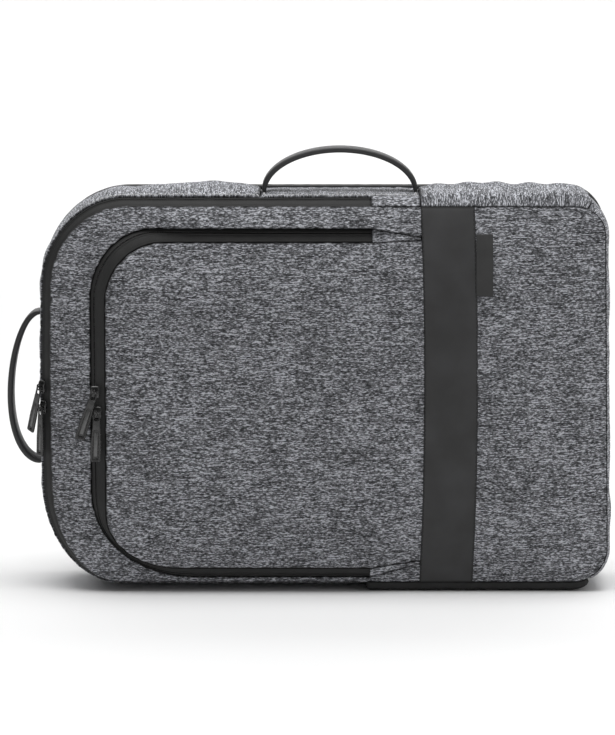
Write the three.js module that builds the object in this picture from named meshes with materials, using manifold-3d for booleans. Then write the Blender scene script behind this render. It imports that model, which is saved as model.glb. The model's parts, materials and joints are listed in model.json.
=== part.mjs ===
// Convertible backpack, standing on its long side as a briefcase.
// Millimetres, +Z up, front towards -Y. The origin is the middle of the whole bag's footprint, on the ground.

import * as THREE from 'three';
import { mergeVertices } from 'three/addons/utils/BufferGeometryUtils.js';
import Module from 'manifold-3d';

const wasm = await Module();
wasm.setup();

// Body
const bagLength = 445;          // along X, over the gusset seams, without the side handle
const bagTop = 311.5;           // height of the top gusset's surface
const gussetLift = 4.5;         // the bottom gusset's seam line, above the ground
const gussetDepth = 85;         // front seam to rear seam
const gussetWall = 2.5;         // padded gusset fabric
const gap = 0.3;                // between neighbouring pieces
const leftBow = 3;              // how far the left side bows out at its middle
const rightLean = 4.5;          // how much further right the right side is at the bottom than at the top
const cornerTopLeft = { along: 66, down: 70 };
const cornerBottomLeft = { along: 60, down: 80 };
const cornerBottomRight = { along: 30, down: 31 };
const cornerTopRight = { along: 28, down: 30 };
const sideBulge = 0.8;          // left and right gusset, at mid depth
const topBulge = 3.5;           // top gusset, left of the handle panel
const handlePanelBulge = 0.6;
const groundGap = 0.2;          // the sagging bottom gusset, above the ground

// Bevel between the front panel's seam and the gusset: a zip tape or plain fabric
const bevelDepth = 9.5;
const topInset = 8;             // front panel's edge, in from the top gusset's surface
const leftInset = 8.5;
const bottomInset = 3;
const rightInset = 2.5;
const tapeWall = 1.6;

// Front panels
const frontCrown = 14;          // how far the front stands out of its seam line
const crownRun = 70;            // distance from the edge over which it rises
const frontWall = 2.5;
const pocketRaise = 4;
const pocketRun = 16;
const bandProud = 0.8;

// Seams across the bag, as distances from its left side
const handleSeam = 169.5;       // left end of the handle panel
const zipEnd = 256;             // where both zips end under their tabs
const bandLeft = 294;
const bandWidth = 42;
const bandBow = 3;
const sidePocketRight = 427.5;  // where both side pockets end
const lowerPocketLeft = 252;

// Front pocket, from the front panel's own edges
const pocketFromLeft = 29.2;
const pocketFromTop = 16.5;
const pocketFromBottom = 4.5;
const pocketTape = { left: 12, top: 11, bottom: 8 };
const pocketCornerTop = { along: 50, down: 55 };
const pocketCornerBottom = { along: 80, down: 69 };
const panelCornerTop = { along: 45, down: 47 };
const panelCornerBottom = { along: 54, down: 43 };
const tabTaper = { top: 8.1, bottom: 12.5, end: 2.4 }; // the end tabs narrow to this at the band, in from the edges

// Side pockets, lying flat against the gusset
const pocketWall = 2;
const upperPocketShoulder = 2.5; // above the top gusset's surface
const upperPocketCrown = 4.5;
const upperPocketMargin = 12;   // from the rear seam
const lowerPocketMargin = 4;
const underPocketDrop = 1.2;    // how far the gusset lies below the upper pocket's seam line
const underPocketRise = 8;      // depth over which it comes back up behind the pocket
const pocketEndRun = 14;        // length over which a side pocket closes at its sewn end

// Rear panel and piping
const pipingRadius = 2.2;
const rearCrown = 10;
const rearEdge = 5;             // thickness at the panel's edge
const rearPadding = 6;          // thickness of its padding elsewhere
const rearFlatShare = 0.62;     // share of the panel that is flat

// Handles: flat straps, each an arch over its gusset
const strapWidth = 25;
const strapThickness = 4.5;
const topFootFromSeam = 3;      // strap's middle line, inside the cross seams
const topHandleRise = 32.5;
const sideHandleSpan = 118;
const sideHandleReach = 24;
const sideHandleHeight = 158;   // its middle, above the ground
const sideHandleSag = 7;        // how far its outermost point hangs below its middle

// Label tab beside the band: bare
const tabWidth = 11.5;
const tabLength = 47.5;
const tabThickness = 1.2;
const tabFromTop = 21;          // below the front panel's top edge
const tabFromBand = 1;

// Zip sliders and pulls
const sliderWidth = 7.5;
const sliderLength = 11;
const sliderHeight = 2.6;
const bridgeWidth = 1.2;
const bridgeThickness = 1.1;
const bridgeClear = 2.6;        // under the bridge
const bridgeLength = 5.8;
const bridgePost = 1;
const bridgeRoot = 1.6;         // how deep its posts run into the slider's body
const pullLength = 38;
const pullWidth = 8;
const pullNeck = 5.6;
const pullThickness = 1.4;
const pullTaper = 24;           // distance from the hinge where the pull has its full width
const ring = { width: 5.2, holeWidth: 3.2, bar: 0.6, shoulder: 5.2, holeEnd: 5.9, end: 7.2 };
const pullSlot = { from: 22, to: 34, width: 3 };
const sliderSpacing = 16;       // between the two sliders of a zip
const sliderStagger = 0.8;      // the upper slider sits this far left of the zip's line, the lower one right of it
const pocketSlidersHeight = 152;
const mainSlidersHeight = 154;
const sliderFromTapeEdge = 4.4; // pocket sliders, from the outer edge of their tape
const upperPullTilt = 18;       // degrees: it hangs aside of the lower slider
const lowerPullTilt = 2;

const colours = {
  heather: 0x5f6065, heatherTop: 0x6b6c71, band: 0x363636, tape: 0x2c2c2d, black: 0x252525,
  strap: 0x232323, metal: 0x3a3a3a, tab: 0x353537, rear: 0x2b2b2d,
};

const seamY = 0;                // the front seam's plane; the finished group is centred at the end
const bandRight = bandLeft + bandWidth;
const frontTop = bagTop - topInset;
const frontBottom = gussetLift + bottomInset;
const parts = new THREE.Group();

const clamp = (v, lo, hi) => Math.min(hi, Math.max(lo, v));
const ease = (v) => Math.sin((clamp(v, 0, 1) * Math.PI) / 2);
const smooth = (v) => clamp(v, 0, 1) ** 2 * (3 - 2 * clamp(v, 0, 1));
const mix = (a, b, t) => a + (b - a) * t;
const V = (x, z) => new THREE.Vector2(x, z);

// Adds one named mesh with its own finish
function addPart(name, geometry, colour, roughness = 0.9, metalness = 0) {
  const mesh = new THREE.Mesh(geometry, new THREE.MeshStandardMaterial({ color: colour, roughness, metalness }));
  mesh.name = name;
  parts.add(mesh);
  return mesh;
}

// The rim: the body's outline seen from the front, as four sides and four corners. A place on it is one number:
// 0 to 1 is the top side from right to left, 1 to 2 the top left corner, and so on round to 8.
const quarterControl = 0.5523;
const rightAt = (z) => bagLength - (rightLean * (z - gussetLift)) / (bagTop - gussetLift);
function quarter(a, corner, b) {
  return new THREE.CubicBezierCurve(
    a, a.clone().lerp(corner, quarterControl), b.clone().lerp(corner, quarterControl), b);
}
const topStart = V(rightAt(bagTop) - cornerTopRight.along, bagTop);
const topEnd = V(cornerTopLeft.along, bagTop);
const leftStart = V(0, bagTop - cornerTopLeft.down);
const leftEnd = V(0, gussetLift + cornerBottomLeft.down);
const bottomStart = V(cornerBottomLeft.along, gussetLift);
const bottomEnd = V(bagLength - cornerBottomRight.along, gussetLift);
const rightStart = V(rightAt(gussetLift + cornerBottomRight.down), gussetLift + cornerBottomRight.down);
const rightEnd = V(rightAt(bagTop - cornerTopRight.down), bagTop - cornerTopRight.down);
const rim = [
  new THREE.LineCurve(topStart, topEnd),
  quarter(topEnd, V(0, bagTop), leftStart),
  new THREE.LineCurve(leftStart, leftEnd),
  quarter(leftEnd, V(0, gussetLift), bottomStart),
  new THREE.LineCurve(bottomStart, bottomEnd),
  quarter(bottomEnd, V(bagLength, gussetLift), rightStart),
  new THREE.LineCurve(rightStart, rightEnd),
  quarter(rightEnd, V(rightAt(bagTop), bagTop), topStart),
];
const rimSteps = [6, 6, 4, 6, 6, 5, 3, 5];
const lap = rim.length;
const wrap = (place) => ((place % lap) + lap) % lap;

// Point and outward normal of the rim at a place, with the left side's bow
function rimAt(place) {
  const index = Math.min(lap - 1, Math.floor(wrap(place)));
  const t = wrap(place) - index;
  const p = rim[index].getPoint(t);
  const tangent = rim[index].getTangent(t);
  const height = clamp((p.y - gussetLift) / (bagTop - gussetLift), 0, 1);
  const bow = leftBow * Math.sin(Math.PI * height) * smooth(1 - p.x / cornerTopLeft.along);
  return { x: p.x - bow, z: p.y, nx: tangent.y, nz: -tangent.x };
}

// The place between two others where the rim passes a value of x or z
function findPlace(axis, value, from, to) {
  let [low, high] = [from, to];
  const rising = rimAt(to)[axis] > rimAt(from)[axis];
  for (let i = 0; i < 50; i += 1) {
    const middle = (low + high) / 2;
    if (rimAt(middle)[axis] < value === rising) low = middle;
    else high = middle;
  }
  return (low + high) / 2;
}
const onTop = (x) => findPlace('x', x, -0.9, 1.9);
const onBottom = (x) => findPlace('x', x, 3.1, 5.9);
const onLeft = (z) => findPlace('z', z, 2.9, 2.1);

// Places from one to another, with every fixed step of the rim between them
function places(from, to) {
  const near = 0.03;
  const list = [from, to];
  rimSteps.forEach((steps, side) => {
    for (let i = 0; i < steps * 3; i += 1) {
      const place = side + (i % steps) / steps + lap * (Math.floor(i / steps) - 1);
      if (place > from + near && place < to - near) list.push(place);
    }
  });
  return list.sort((a, b) => a - b);
}

// How far the front seam lies inside the rim: a value per side, blended through the corners
const insets = [topInset, leftInset, bottomInset, rightInset];
function inset(place) {
  const index = Math.min(lap - 1, Math.floor(wrap(place)));
  const side = Math.floor(index / 2);
  return index % 2 ? mix(insets[side], insets[(side + 1) % 4], smooth(wrap(place) - index)) : insets[side];
}

// Turns lists of positions and triangles into a geometry that faces outward
function solid(positions, triangles) {
  const geometry = new THREE.BufferGeometry();
  geometry.setAttribute('position', new THREE.Float32BufferAttribute(positions.flat(), 3));
  const [a, b, c] = [new THREE.Vector3(), new THREE.Vector3(), new THREE.Vector3()];
  let volume = 0;
  for (const [i, j, k] of triangles) {
    volume += a.fromArray(positions[i]).dot(b.fromArray(positions[j]).cross(c.fromArray(positions[k])));
  }
  geometry.setIndex(triangles.flatMap(([i, j, k]) => (volume > 0 ? [i, j, k] : [i, k, j])));
  return geometry;
}

// Joins rings of points into a closed skin. Each ring also has its flat section, for the end caps of an open run.
function loft(rings, closed = false) {
  const size = rings[0].points.length;
  const triangles = [];
  const runs = closed ? rings.length : rings.length - 1;
  for (let r = 0; r < runs; r += 1) {
    const next = (r + 1) % rings.length;
    for (let i = 0; i < size; i += 1) {
      const j = (i + 1) % size;
      const [a, b, c, d] = [r * size + i, r * size + j, next * size + j, next * size + i];
      triangles.push([a, b, c], [a, c, d]);
    }
  }
  const ends = closed ? [] : [0, rings.length - 1];
  for (const r of ends) {
    const corners = rings[r].section.map(([u, v]) => V(u, v));
    const clockwise = THREE.ShapeUtils.isClockWise(corners);
    for (const [i, j, k] of THREE.ShapeUtils.triangulateShape(corners, [])) {
      const alike = THREE.ShapeUtils.isClockWise([corners[i], corners[j], corners[k]]) === clockwise;
      const order = alike === (r > 0) ? [i, j, k] : [k, j, i];
      triangles.push(order.map((index) => r * size + index));
    }
  }
  return solid(rings.flatMap((each) => each.points), triangles);
}

// A closed section from its outer line, a list of [out, depth] from front to rear. Its front end is cut along the
// depth where it meets the front panel, and otherwise square to it.
function wallSection(line, thickness, meetsPanel) {
  const last = line.length - 1;
  const cut = 1.35 * thickness;
  const inner = line.map(([out, depth], i) => {
    if (i === 0 && meetsPanel) return [out, depth + cut];
    if (i === 0 || i === last) return [out - thickness, depth];
    const rise = line[i + 1][0] - line[i - 1][0];
    const run = line[i + 1][1] - line[i - 1][1];
    const length = Math.hypot(rise, run);
    return [out - (thickness * run) / length, depth + (thickness * rise) / length];
  });
  return [...line, ...inner.reverse()];
}

// A strip along the rim, where section(place) gives its [out, depth] corners
function strip(from, to, section, closed = false) {
  const stops = closed ? places(from, to).slice(0, -1) : places(from, to);
  const rings = stops.map((place) => {
    const at = rimAt(place);
    const corners = section(place);
    return {
      section: corners,
      points: corners.map(([out, depth]) => [at.x + at.nx * out, seamY + depth, at.z + at.nz * out]),
    };
  });
  return loft(rings, closed);
}

// The same strip, kept half a gap inside the seams at both its ends
function seamedStrip(from, to, section) {
  const shorten = gap / 2 / (topStart.x - topEnd.x);
  return strip(from + shorten, to - shorten, section);
}

// The bevel from the front seam to the gusset: shares of the inset still to go, and of the depth
const bevelTable = [
  { inward: 1, depth: 0 },
  { inward: 0.62, depth: 0.3 },
  { inward: 0.24, depth: 0.66 },
  { inward: 0, depth: 1 },
];
const bevelLine = (place) => bevelTable.map((row) => [-row.inward * inset(place), row.depth * bevelDepth]);

// The gusset from the bevel to the rear seam: a round bulge, and on the bottom a sag that stays behind the front
const gussetTable = [
  { depth: 0, bulge: 0, sag: 0 },
  { depth: 0.14, bulge: 0.5, sag: 0.05 },
  { depth: 0.3, bulge: 0.88, sag: 0.35 },
  { depth: 0.46, bulge: 1, sag: 0.85 },
  { depth: 0.62, bulge: 0.9, sag: 1 },
  { depth: 0.8, bulge: 0.5, sag: 1 },
  { depth: 1, bulge: 0, sag: 0.3 },
];
function gussetLine(bulge, sag = 0) {
  const front = bevelDepth + gap;
  return gussetTable.map((row) => [bulge * row.bulge + sag * row.sag, mix(front, gussetDepth, row.depth)]);
}

const topHandleSeam = onTop(handleSeam);
const topZipEnd = onTop(zipEnd);
const topBandLeft = onTop(bandLeft);
const topPocketEnd = onTop(sidePocketRight);
const bottomPocketStart = onBottom(lowerPocketLeft);
const bottomPocketEnd = onBottom(sidePocketRight);

// Bulge of the long gusset: the top's, then the left side's, then the sag of the bottom
function wrapBulge(place) {
  const towardsLeft = smooth(place - 1);
  const towardsBottom = smooth(place - 3);
  const bulge = mix(mix(topBulge, sideBulge, towardsLeft), 0, towardsBottom);
  return wallSection(gussetLine(bulge, (gussetLift - groundGap) * towardsBottom), gussetWall);
}

function addGussets() {
  addPart('gusset_wrap', seamedStrip(topHandleSeam, bottomPocketStart, wrapBulge), colours.heatherTop);
  addPart('gusset_handle_panel',
    seamedStrip(topBandLeft, topHandleSeam, () => wallSection(gussetLine(handlePanelBulge), gussetWall)),
    colours.heatherTop);
  const pocketRear = gussetDepth - upperPocketMargin;
  const sunk = [
    [-underPocketDrop, bevelDepth + gap], [-underPocketDrop, pocketRear],
    [0, pocketRear + underPocketRise], [0, gussetDepth],
  ];
  addPart('gusset_under_upper_pocket',
    seamedStrip(topPocketEnd, topBandLeft, () => wallSection(sunk, gussetWall)), colours.heather);
  addPart('gusset_under_lower_pocket',
    seamedStrip(bottomPocketStart, bottomPocketEnd, () => wallSection(gussetLine(0), gussetWall)), colours.black);
  addPart('gusset_base',
    seamedStrip(bottomPocketEnd, topPocketEnd + lap,
      (place) => wallSection([...bevelLine(place).slice(0, -1), ...gussetLine(sideBulge)], gussetWall, true)),
    colours.heather);
}

// The main zip runs on the bevel from the top round the left side to the bottom
function addMainZip() {
  const onBevel = (place) => wallSection(bevelLine(place), tapeWall, true);
  addPart('main_zip_tape', seamedStrip(topZipEnd, bottomPocketStart, onBevel), colours.tape, 0.7);
  addPart('main_zip_end_tab', seamedStrip(topBandLeft, topZipEnd, onBevel), colours.heatherTop);
}

// A side pocket from the front seam, over its shoulders and crown, to its seat on the gusset; towards its sewn end
// shoulders and crown come down to the seat
function pocketSection(place, form, open) {
  const rear = gussetDepth - form.margin;
  const seam = -inset(place);
  const edge = mix(form.seat, form.shoulder, open);
  return wallSection([
    [seam, 0],
    [mix(seam, edge, 0.55), 0.12 * bevelDepth],
    [mix(seam, edge, 0.88), 0.48 * bevelDepth],
    [edge, bevelDepth],
    [mix(form.seat, form.crown, open), gussetDepth / 2],
    [edge, rear - bevelDepth],
    [form.seat, rear],
  ], pocketWall, true);
}
function addSidePockets() {
  const openness = (place, end, side) => ease((Math.abs(place - end) * rim[side].getLength()) / pocketEndRun);
  const upper = {
    shoulder: upperPocketShoulder, crown: upperPocketCrown, seat: pocketWall + gap - underPocketDrop,
    margin: upperPocketMargin,
  };
  const lower = {
    shoulder: gussetLift, crown: gussetLift, seat: pocketWall + gap, margin: lowerPocketMargin,
  };
  addPart('upper_side_pocket', seamedStrip(topPocketEnd, topBandLeft,
    (place) => pocketSection(place, upper, openness(place, topPocketEnd, 0))), colours.heatherTop);
  addPart('lower_side_pocket', seamedStrip(bottomPocketStart, bottomPocketEnd,
    (place) => pocketSection(place, lower, openness(place, bottomPocketEnd, 4))), colours.black, 0.8);
}

// The front seam as a closed outline, a gap inside the bevel
const frontPlaces = places(0, lap).slice(0, -1);
const frontOutline = frontPlaces.map((place) => {
  const at = rimAt(place);
  const out = -inset(place) - gap;
  return V(at.x + at.nx * out, at.z + at.nz * out);
});

// Rounded outline that is open towards the band: left edge, top, bottom, the two corners at its left, and how far
// it lies out from the line on which the end tabs taper
function pocketOutline(left, top, bottom, cornerTop, cornerBottom, out) {
  const steps = 7;
  const taperTop = pocketTop - tabTaper.top + out;
  const taperBottom = pocketBottom + tabTaper.bottom - out;
  const list = [
    V(zipEnd, bottom), V(bandLeft, taperBottom), V(bandRight, taperBottom),
    V(bandRight, taperTop), V(bandLeft, taperTop), V(zipEnd, top),
  ];
  for (let i = 0; i <= steps; i += 1) {
    const angle = (Math.PI / 2) * (1 + i / steps);
    list.push(V(left + cornerTop.along * (1 + Math.cos(angle)), top - cornerTop.down * (1 - Math.sin(angle))));
  }
  for (let i = 0; i <= steps; i += 1) {
    const angle = Math.PI * (1 + i / (2 * steps));
    const [along, down] = [cornerBottom.along, cornerBottom.down];
    list.push(V(left + along * (1 + Math.cos(angle)), bottom + down * (1 + Math.sin(angle))));
  }
  return list;
}
const pocketLeft = leftInset + pocketFromLeft;
const pocketTop = frontTop - pocketFromTop;
const pocketBottom = frontBottom + pocketFromBottom;
const grown = (corner, by) => ({ along: corner.along + by, down: corner.down + by });
const zipOutline = (grow) => pocketOutline(pocketLeft - grow, pocketTop + grow, pocketBottom - grow,
  grown(pocketCornerTop, grow), grown(pocketCornerBottom, grow), tabTaper.end / 2 + grow);
const panelOutline = (grow) => pocketOutline(
  pocketLeft + pocketTape.left - grow, pocketTop - pocketTape.top + grow, pocketBottom + pocketTape.bottom - grow,
  grown(panelCornerTop, grow), grown(panelCornerBottom, grow), grow - tabTaper.end / 2);

// How far a point lies inside an outline; 0 outside
function depthInside(outline, x, z) {
  let nearest = Infinity;
  let inside = false;
  outline.forEach((a, i) => {
    const b = outline[(i + 1) % outline.length];
    const [dx, dz] = [b.x - a.x, b.y - a.y];
    const t = clamp(((x - a.x) * dx + (z - a.y) * dz) / (dx * dx + dz * dz), 0, 1);
    nearest = Math.min(nearest, Math.hypot(x - a.x - t * dx, z - a.y - t * dz));
    if (a.y > z !== b.y > z && x < a.x + (dx * (z - a.y)) / dz) inside = !inside;
  });
  return inside ? nearest : 0;
}

// How far the front stands out of the seam's plane
const outerZip = zipOutline(0);
function frontHeight(x, z) {
  const crown = frontCrown * ease(depthInside(frontOutline, x, z) / crownRun);
  const fade = smooth((bandLeft - x) / bandWidth);
  return crown + pocketRaise * fade * ease(depthInside(outerZip, x, z) / pocketRun);
}

// The whole front as one shell, in rings from the seam to the middle, standing out by a lift
const ringShares = [1, 0.985, 0.95, 0.89, 0.8, 0.66, 0.45, 0.22];
const frontMiddle = V(bagLength / 2, (frontTop + frontBottom) / 2);
function frontShell(lift, thickness) {
  const positions = [];
  const triangles = [];
  const count = frontOutline.length;
  const levels = ringShares.length;
  for (const back of [0, thickness]) {
    const y = (x, z) => seamY - frontHeight(x, z) - lift + back;
    for (const share of ringShares) {
      for (const corner of frontOutline) {
        const p = frontMiddle.clone().lerp(corner, share);
        positions.push([p.x, y(p.x, p.y), p.y]);
      }
    }
    positions.push([frontMiddle.x, y(frontMiddle.x, frontMiddle.y), frontMiddle.y]);
  }
  const side = count * levels + 1;
  for (const [start, flip] of [[0, false], [side, true]]) {
    const add = (i, j, k) => triangles.push(flip ? [i, k, j] : [i, j, k]);
    for (let i = 0; i < count; i += 1) {
      const j = (i + 1) % count;
      for (let r = 0; r < levels - 1; r += 1) {
        const [a, b] = [start + r * count, start + (r + 1) * count];
        add(a + i, a + j, b + j);
        add(a + i, b + j, b + i);
      }
      const inner = start + (levels - 1) * count;
      add(inner + i, inner + j, start + side - 1);
    }
  }
  for (let i = 0; i < count; i += 1) {
    const j = (i + 1) % count;
    triangles.push([side + i, side + j, j], [side + i, j, i]);
  }
  return toManifold(solid(positions, triangles));
}

// Between three.js meshes and solids that can be cut
function toManifold(geometry) {
  for (const name of ['normal', 'uv']) geometry.deleteAttribute(name);
  const merged = mergeVertices(geometry, 1e-4);
  return new wasm.Manifold(new wasm.Mesh({
    numProp: 3,
    vertProperties: new Float32Array(merged.attributes.position.array),
    triVerts: new Uint32Array(merged.index.array),
  }));
}
function fromManifold(body) {
  const mesh = body.getMesh();
  const geometry = new THREE.BufferGeometry();
  geometry.setAttribute('position', new THREE.Float32BufferAttribute(mesh.vertProperties, 3));
  geometry.setIndex([...mesh.triVerts]);
  return geometry;
}

// A prism through the front, from an outline in X and Z
function prism(outline) {
  const depth = 2 * gussetDepth;
  const geometry = new THREE.ExtrudeGeometry(new THREE.Shape(outline), { depth, bevelEnabled: false });
  geometry.rotateX(Math.PI / 2);
  geometry.translate(0, seamY + depth / 2, 0);
  return toManifold(geometry);
}

// The region between two lines down the front, each with the band's bow
function between(left, right) {
  const steps = 6;
  const overrun = 20;
  const line = (x, i) => {
    const z = mix(frontTop + overrun, frontBottom - overrun, i / steps);
    return V(x + bandBow * Math.sin((Math.PI * i) / steps), z);
  };
  const list = [];
  for (let i = 0; i <= steps; i += 1) list.push(line(left, i));
  for (let i = steps; i >= 0; i -= 1) list.push(line(right, i));
  return prism(list);
}

function addFront() {
  const half = gap / 2;
  const shell = frontShell(0, frontWall);
  const beyond = bagLength;
  const left = shell.intersect(between(-beyond, bandLeft - half));
  const pocket = left.intersect(prism(zipOutline(-half)));
  const zipRing = pocket.subtract(prism(panelOutline(half)));
  const tabs = zipRing.intersect(between(zipEnd - bandBow + half, beyond));
  const box = (low, high) => prism([V(-beyond, low), V(-beyond, high), V(beyond * 2, high), V(beyond * 2, low)]);
  const middle = (frontTop + frontBottom) / 2;
  addPart('front_border', fromManifold(left.subtract(prism(zipOutline(half)))), colours.heather);
  addPart('pocket_panel', fromManifold(left.intersect(prism(panelOutline(-half)))), colours.heather);
  addPart('pocket_zip_tape',
    fromManifold(zipRing.intersect(between(-beyond, zipEnd - bandBow - half))), colours.tape, 0.7);
  addPart('pocket_zip_end_tab_upper', fromManifold(tabs.intersect(box(middle, bagTop))), colours.heatherTop);
  addPart('pocket_zip_end_tab_lower', fromManifold(tabs.intersect(box(-bagTop, middle))), colours.heather);
  addPart('centre_band',
    fromManifold(frontShell(bandProud, frontWall + bandProud).intersect(between(bandLeft + half, bandRight - half))),
    colours.band, 0.6);
  addPart('lower_panel', fromManifold(shell.intersect(between(bandRight + half, beyond * 2))), colours.heather);
  const tabLeft = bandRight + bandBow / 2 + tabFromBand;
  const tabTop = frontTop - tabFromTop;
  addPart('label_tab', fromManifold(frontShell(gap + tabThickness, tabThickness).intersect(prism([
    V(tabLeft, tabTop), V(tabLeft + tabWidth, tabTop),
    V(tabLeft + tabWidth, tabTop - tabLength), V(tabLeft, tabTop - tabLength),
  ]))), colours.tab, 0.7);
}

// Plain padded rear panel, hollow towards the bag, inside a ring of piping
function addRear() {
  const centre = gussetDepth + gap + pipingRadius;
  const sides = 8;
  const circle = Array.from({ length: sides }, (_, i) => {
    const angle = (2 * Math.PI * i) / sides;
    return [pipingRadius * Math.cos(angle) - pipingRadius / 10, centre + pipingRadius * Math.sin(angle)];
  });
  addPart('rear_piping', strip(0, lap, () => circle, true), colours.black, 0.6);
  const edge = gussetWall + gap;
  const inner = gussetDepth - rearEdge / 2;
  const crownTable = [
    { share: 0.97, rise: 0.38 }, { share: 0.9, rise: 0.74 }, { share: 0.78, rise: 0.95 },
    { share: rearFlatShare, rise: 1 },
  ];
  const outer = crownTable.map((row) => ({ share: row.share, depth: rearEdge + row.rise * rearCrown }));
  const hollow = outer.slice(1).map((row) => ({ share: row.share, depth: row.depth - rearPadding }));
  const levels = [
    ...hollow.reverse(), { share: 0.95, depth: 0 }, { share: 1, depth: 0 }, { share: 1, depth: rearEdge }, ...outer,
  ];
  const outline = frontPlaces.map((place) => {
    const at = rimAt(place);
    return V(at.x - at.nx * edge, at.z - at.nz * edge);
  });
  const rings = levels.map((level) => {
    const flat = outline.map((corner) => frontMiddle.clone().lerp(corner, level.share));
    return {
      section: flat.map((p) => [p.x, p.y]),
      points: flat.map((p) => [p.x, seamY + inner + level.depth, p.y]),
    };
  });
  addPart('rear_panel', loft(rings), colours.rear, 0.85);
}

// A strap in an arch: from one foot to the other, rising towards up, sagging along the line of its feet
function arch(span, rise, sag, place) {
  const steps = 16;
  const half = strapWidth / 2;
  const soft = strapThickness / 3;
  const section = [
    [-half, -strapThickness / 2 + soft], [-half + soft, -strapThickness / 2], [half - soft, -strapThickness / 2],
    [half, -strapThickness / 2 + soft], [half, strapThickness / 2 - soft], [half - soft, strapThickness / 2],
    [-half + soft, strapThickness / 2], [-half, strapThickness / 2 - soft],
  ];
  const path = (t) => V((-span / 2) * Math.cos(t) + sag * Math.sin(t) ** 2, rise * Math.sin(t));
  const rings = [];
  for (let i = 0; i <= steps; i += 1) {
    const t = (Math.PI * i) / steps;
    const at = path(t);
    const tangent = path(t + 1e-3).sub(path(t - 1e-3)).normalize();
    if (i === 0) tangent.set(0, 1);
    if (i === steps) tangent.set(0, -1);
    rings.push({
      section,
      points: section.map(([across, out]) => place(at.x - tangent.y * out, across, at.y + tangent.x * out)),
    });
  }
  return loft(rings);
}
function addHandles() {
  const topBase = bagTop + handlePanelBulge + gap;
  const middleX = (handleSeam + bandLeft) / 2;
  const span = bandLeft - handleSeam - 2 * topFootFromSeam;
  addPart('top_handle', arch(span, topHandleRise, 0,
    (a, across, out) => [middleX + a, seamY + gussetDepth / 2 + across, topBase + out]), colours.strap, 0.6);
  const footLow = rimAt(onLeft(sideHandleHeight - sideHandleSpan / 2));
  const footHigh = rimAt(onLeft(sideHandleHeight + sideHandleSpan / 2));
  const base = Math.min(footLow.x, footHigh.x) - sideBulge - 2 * gap;
  addPart('side_handle', arch(sideHandleSpan, sideHandleReach, -sideHandleSag,
    (a, across, out) => [base - out, seamY + gussetDepth / 2 + across, sideHandleHeight + a]), colours.strap, 0.6);
}

// A zip slider: a body with a bridge over it. Local axes: X across the zip, Y out of the surface, Z along it.
function sliderGeometry() {
  const bodyBox = new THREE.BoxGeometry(sliderWidth, sliderHeight, sliderLength);
  bodyBox.translate(0, sliderHeight / 2, 0);
  const top = sliderHeight + bridgeClear + bridgeThickness;
  const bar = new THREE.BoxGeometry(bridgeWidth, bridgeThickness, bridgeLength);
  bar.translate(0, top - bridgeThickness / 2, 0);
  let body = toManifold(bodyBox).add(toManifold(bar));
  for (const end of [-1, 1]) {
    const foot = sliderHeight - bridgeRoot;
    const post = new THREE.BoxGeometry(bridgeWidth, top - foot, bridgePost);
    post.translate(0, (top + foot) / 2, (end * (bridgeLength - bridgePost)) / 2);
    body = body.add(toManifold(post));
  }
  return fromManifold(body);
}

// A pull: its ring bar lies on the hinge at the origin, and the plate hangs down from it
function pullGeometry() {
  const shape = new THREE.Shape([
    V(-ring.width / 2, ring.bar), V(-ring.width / 2, -ring.shoulder), V(-pullNeck / 2, -ring.end),
    V(-pullWidth / 2, -pullTaper), V(-pullWidth / 2, -pullLength + pullWidth / 4),
    V(-pullWidth / 4, -pullLength), V(pullWidth / 4, -pullLength),
    V(pullWidth / 2, -pullLength + pullWidth / 4), V(pullWidth / 2, -pullTaper),
    V(pullNeck / 2, -ring.end), V(ring.width / 2, -ring.shoulder), V(ring.width / 2, ring.bar),
  ]);
  const hole = (width, from, to) => new THREE.Path([
    V(-width / 2, -from), V(width / 2, -from), V(width / 2, -to), V(-width / 2, -to),
  ]);
  shape.holes.push(hole(ring.holeWidth, ring.bar, ring.holeEnd));
  shape.holes.push(hole(pullSlot.width, pullSlot.from, pullSlot.to));
  const geometry = new THREE.ExtrudeGeometry(shape, { depth: pullThickness, bevelEnabled: false });
  geometry.translate(0, 0, -pullThickness / 2);
  geometry.rotateX(Math.PI / 2);
  return geometry;
}

// Two sliders on one zip, their pulls hanging left of and along it
function addSliderPair(name, x, y, z, outX, outY) {
  const rows = [
    { which: 'upper', above: sliderSpacing / 2, aside: -sliderStagger, tilt: upperPullTilt },
    { which: 'lower', above: -sliderSpacing / 2, aside: sliderStagger, tilt: lowerPullTilt },
  ];
  const turn = Math.atan2(outX, -outY);
  const hingeOut = gap + sliderHeight + bridgeClear / 2;
  for (const row of rows) {
    const [atX, atY] = [x - outY * row.aside, y + outX * row.aside];
    const slider = addPart(`${name}_slider_${row.which}`, sliderGeometry(), colours.metal, 0.35, 0.8);
    slider.rotation.set(0, 0, Math.PI + turn);
    slider.position.set(atX + outX * gap, atY + outY * gap, z + row.above);
    const pull = addPart(`${name}_pull_${row.which}`, pullGeometry(), colours.metal, 0.35, 0.8);
    pull.rotation.set(0, (row.tilt * Math.PI) / 180, turn, 'ZYX');
    pull.position.set(atX + outX * hingeOut, atY + outY * hingeOut, z + row.above);
  }
}
function addSliders() {
  const pocketX = pocketLeft + sliderFromTapeEdge;
  const pocketHeights = [-1, 0, 1].flatMap((k) => [-1, 1].map(
    (j) => frontHeight(pocketX + (j * sliderWidth) / 2, pocketSlidersHeight + k * sliderSpacing)));
  addSliderPair('pocket_zip', pocketX, seamY - Math.max(...pocketHeights), pocketSlidersHeight, 0, -1);
  const at = rimAt(onLeft(mainSlidersHeight));
  const slope = Math.hypot(leftInset, bevelDepth);
  const [outX, outY] = [-bevelDepth / slope, -leftInset / slope];
  const proud = 0.6;            // the bevel's middle stands this far out of its straight line
  addSliderPair('main_zip', at.x + leftInset / 2 + outX * proud, seamY + bevelDepth / 2 + outY * proud,
    mainSlidersHeight, outX, outY);
}

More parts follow.
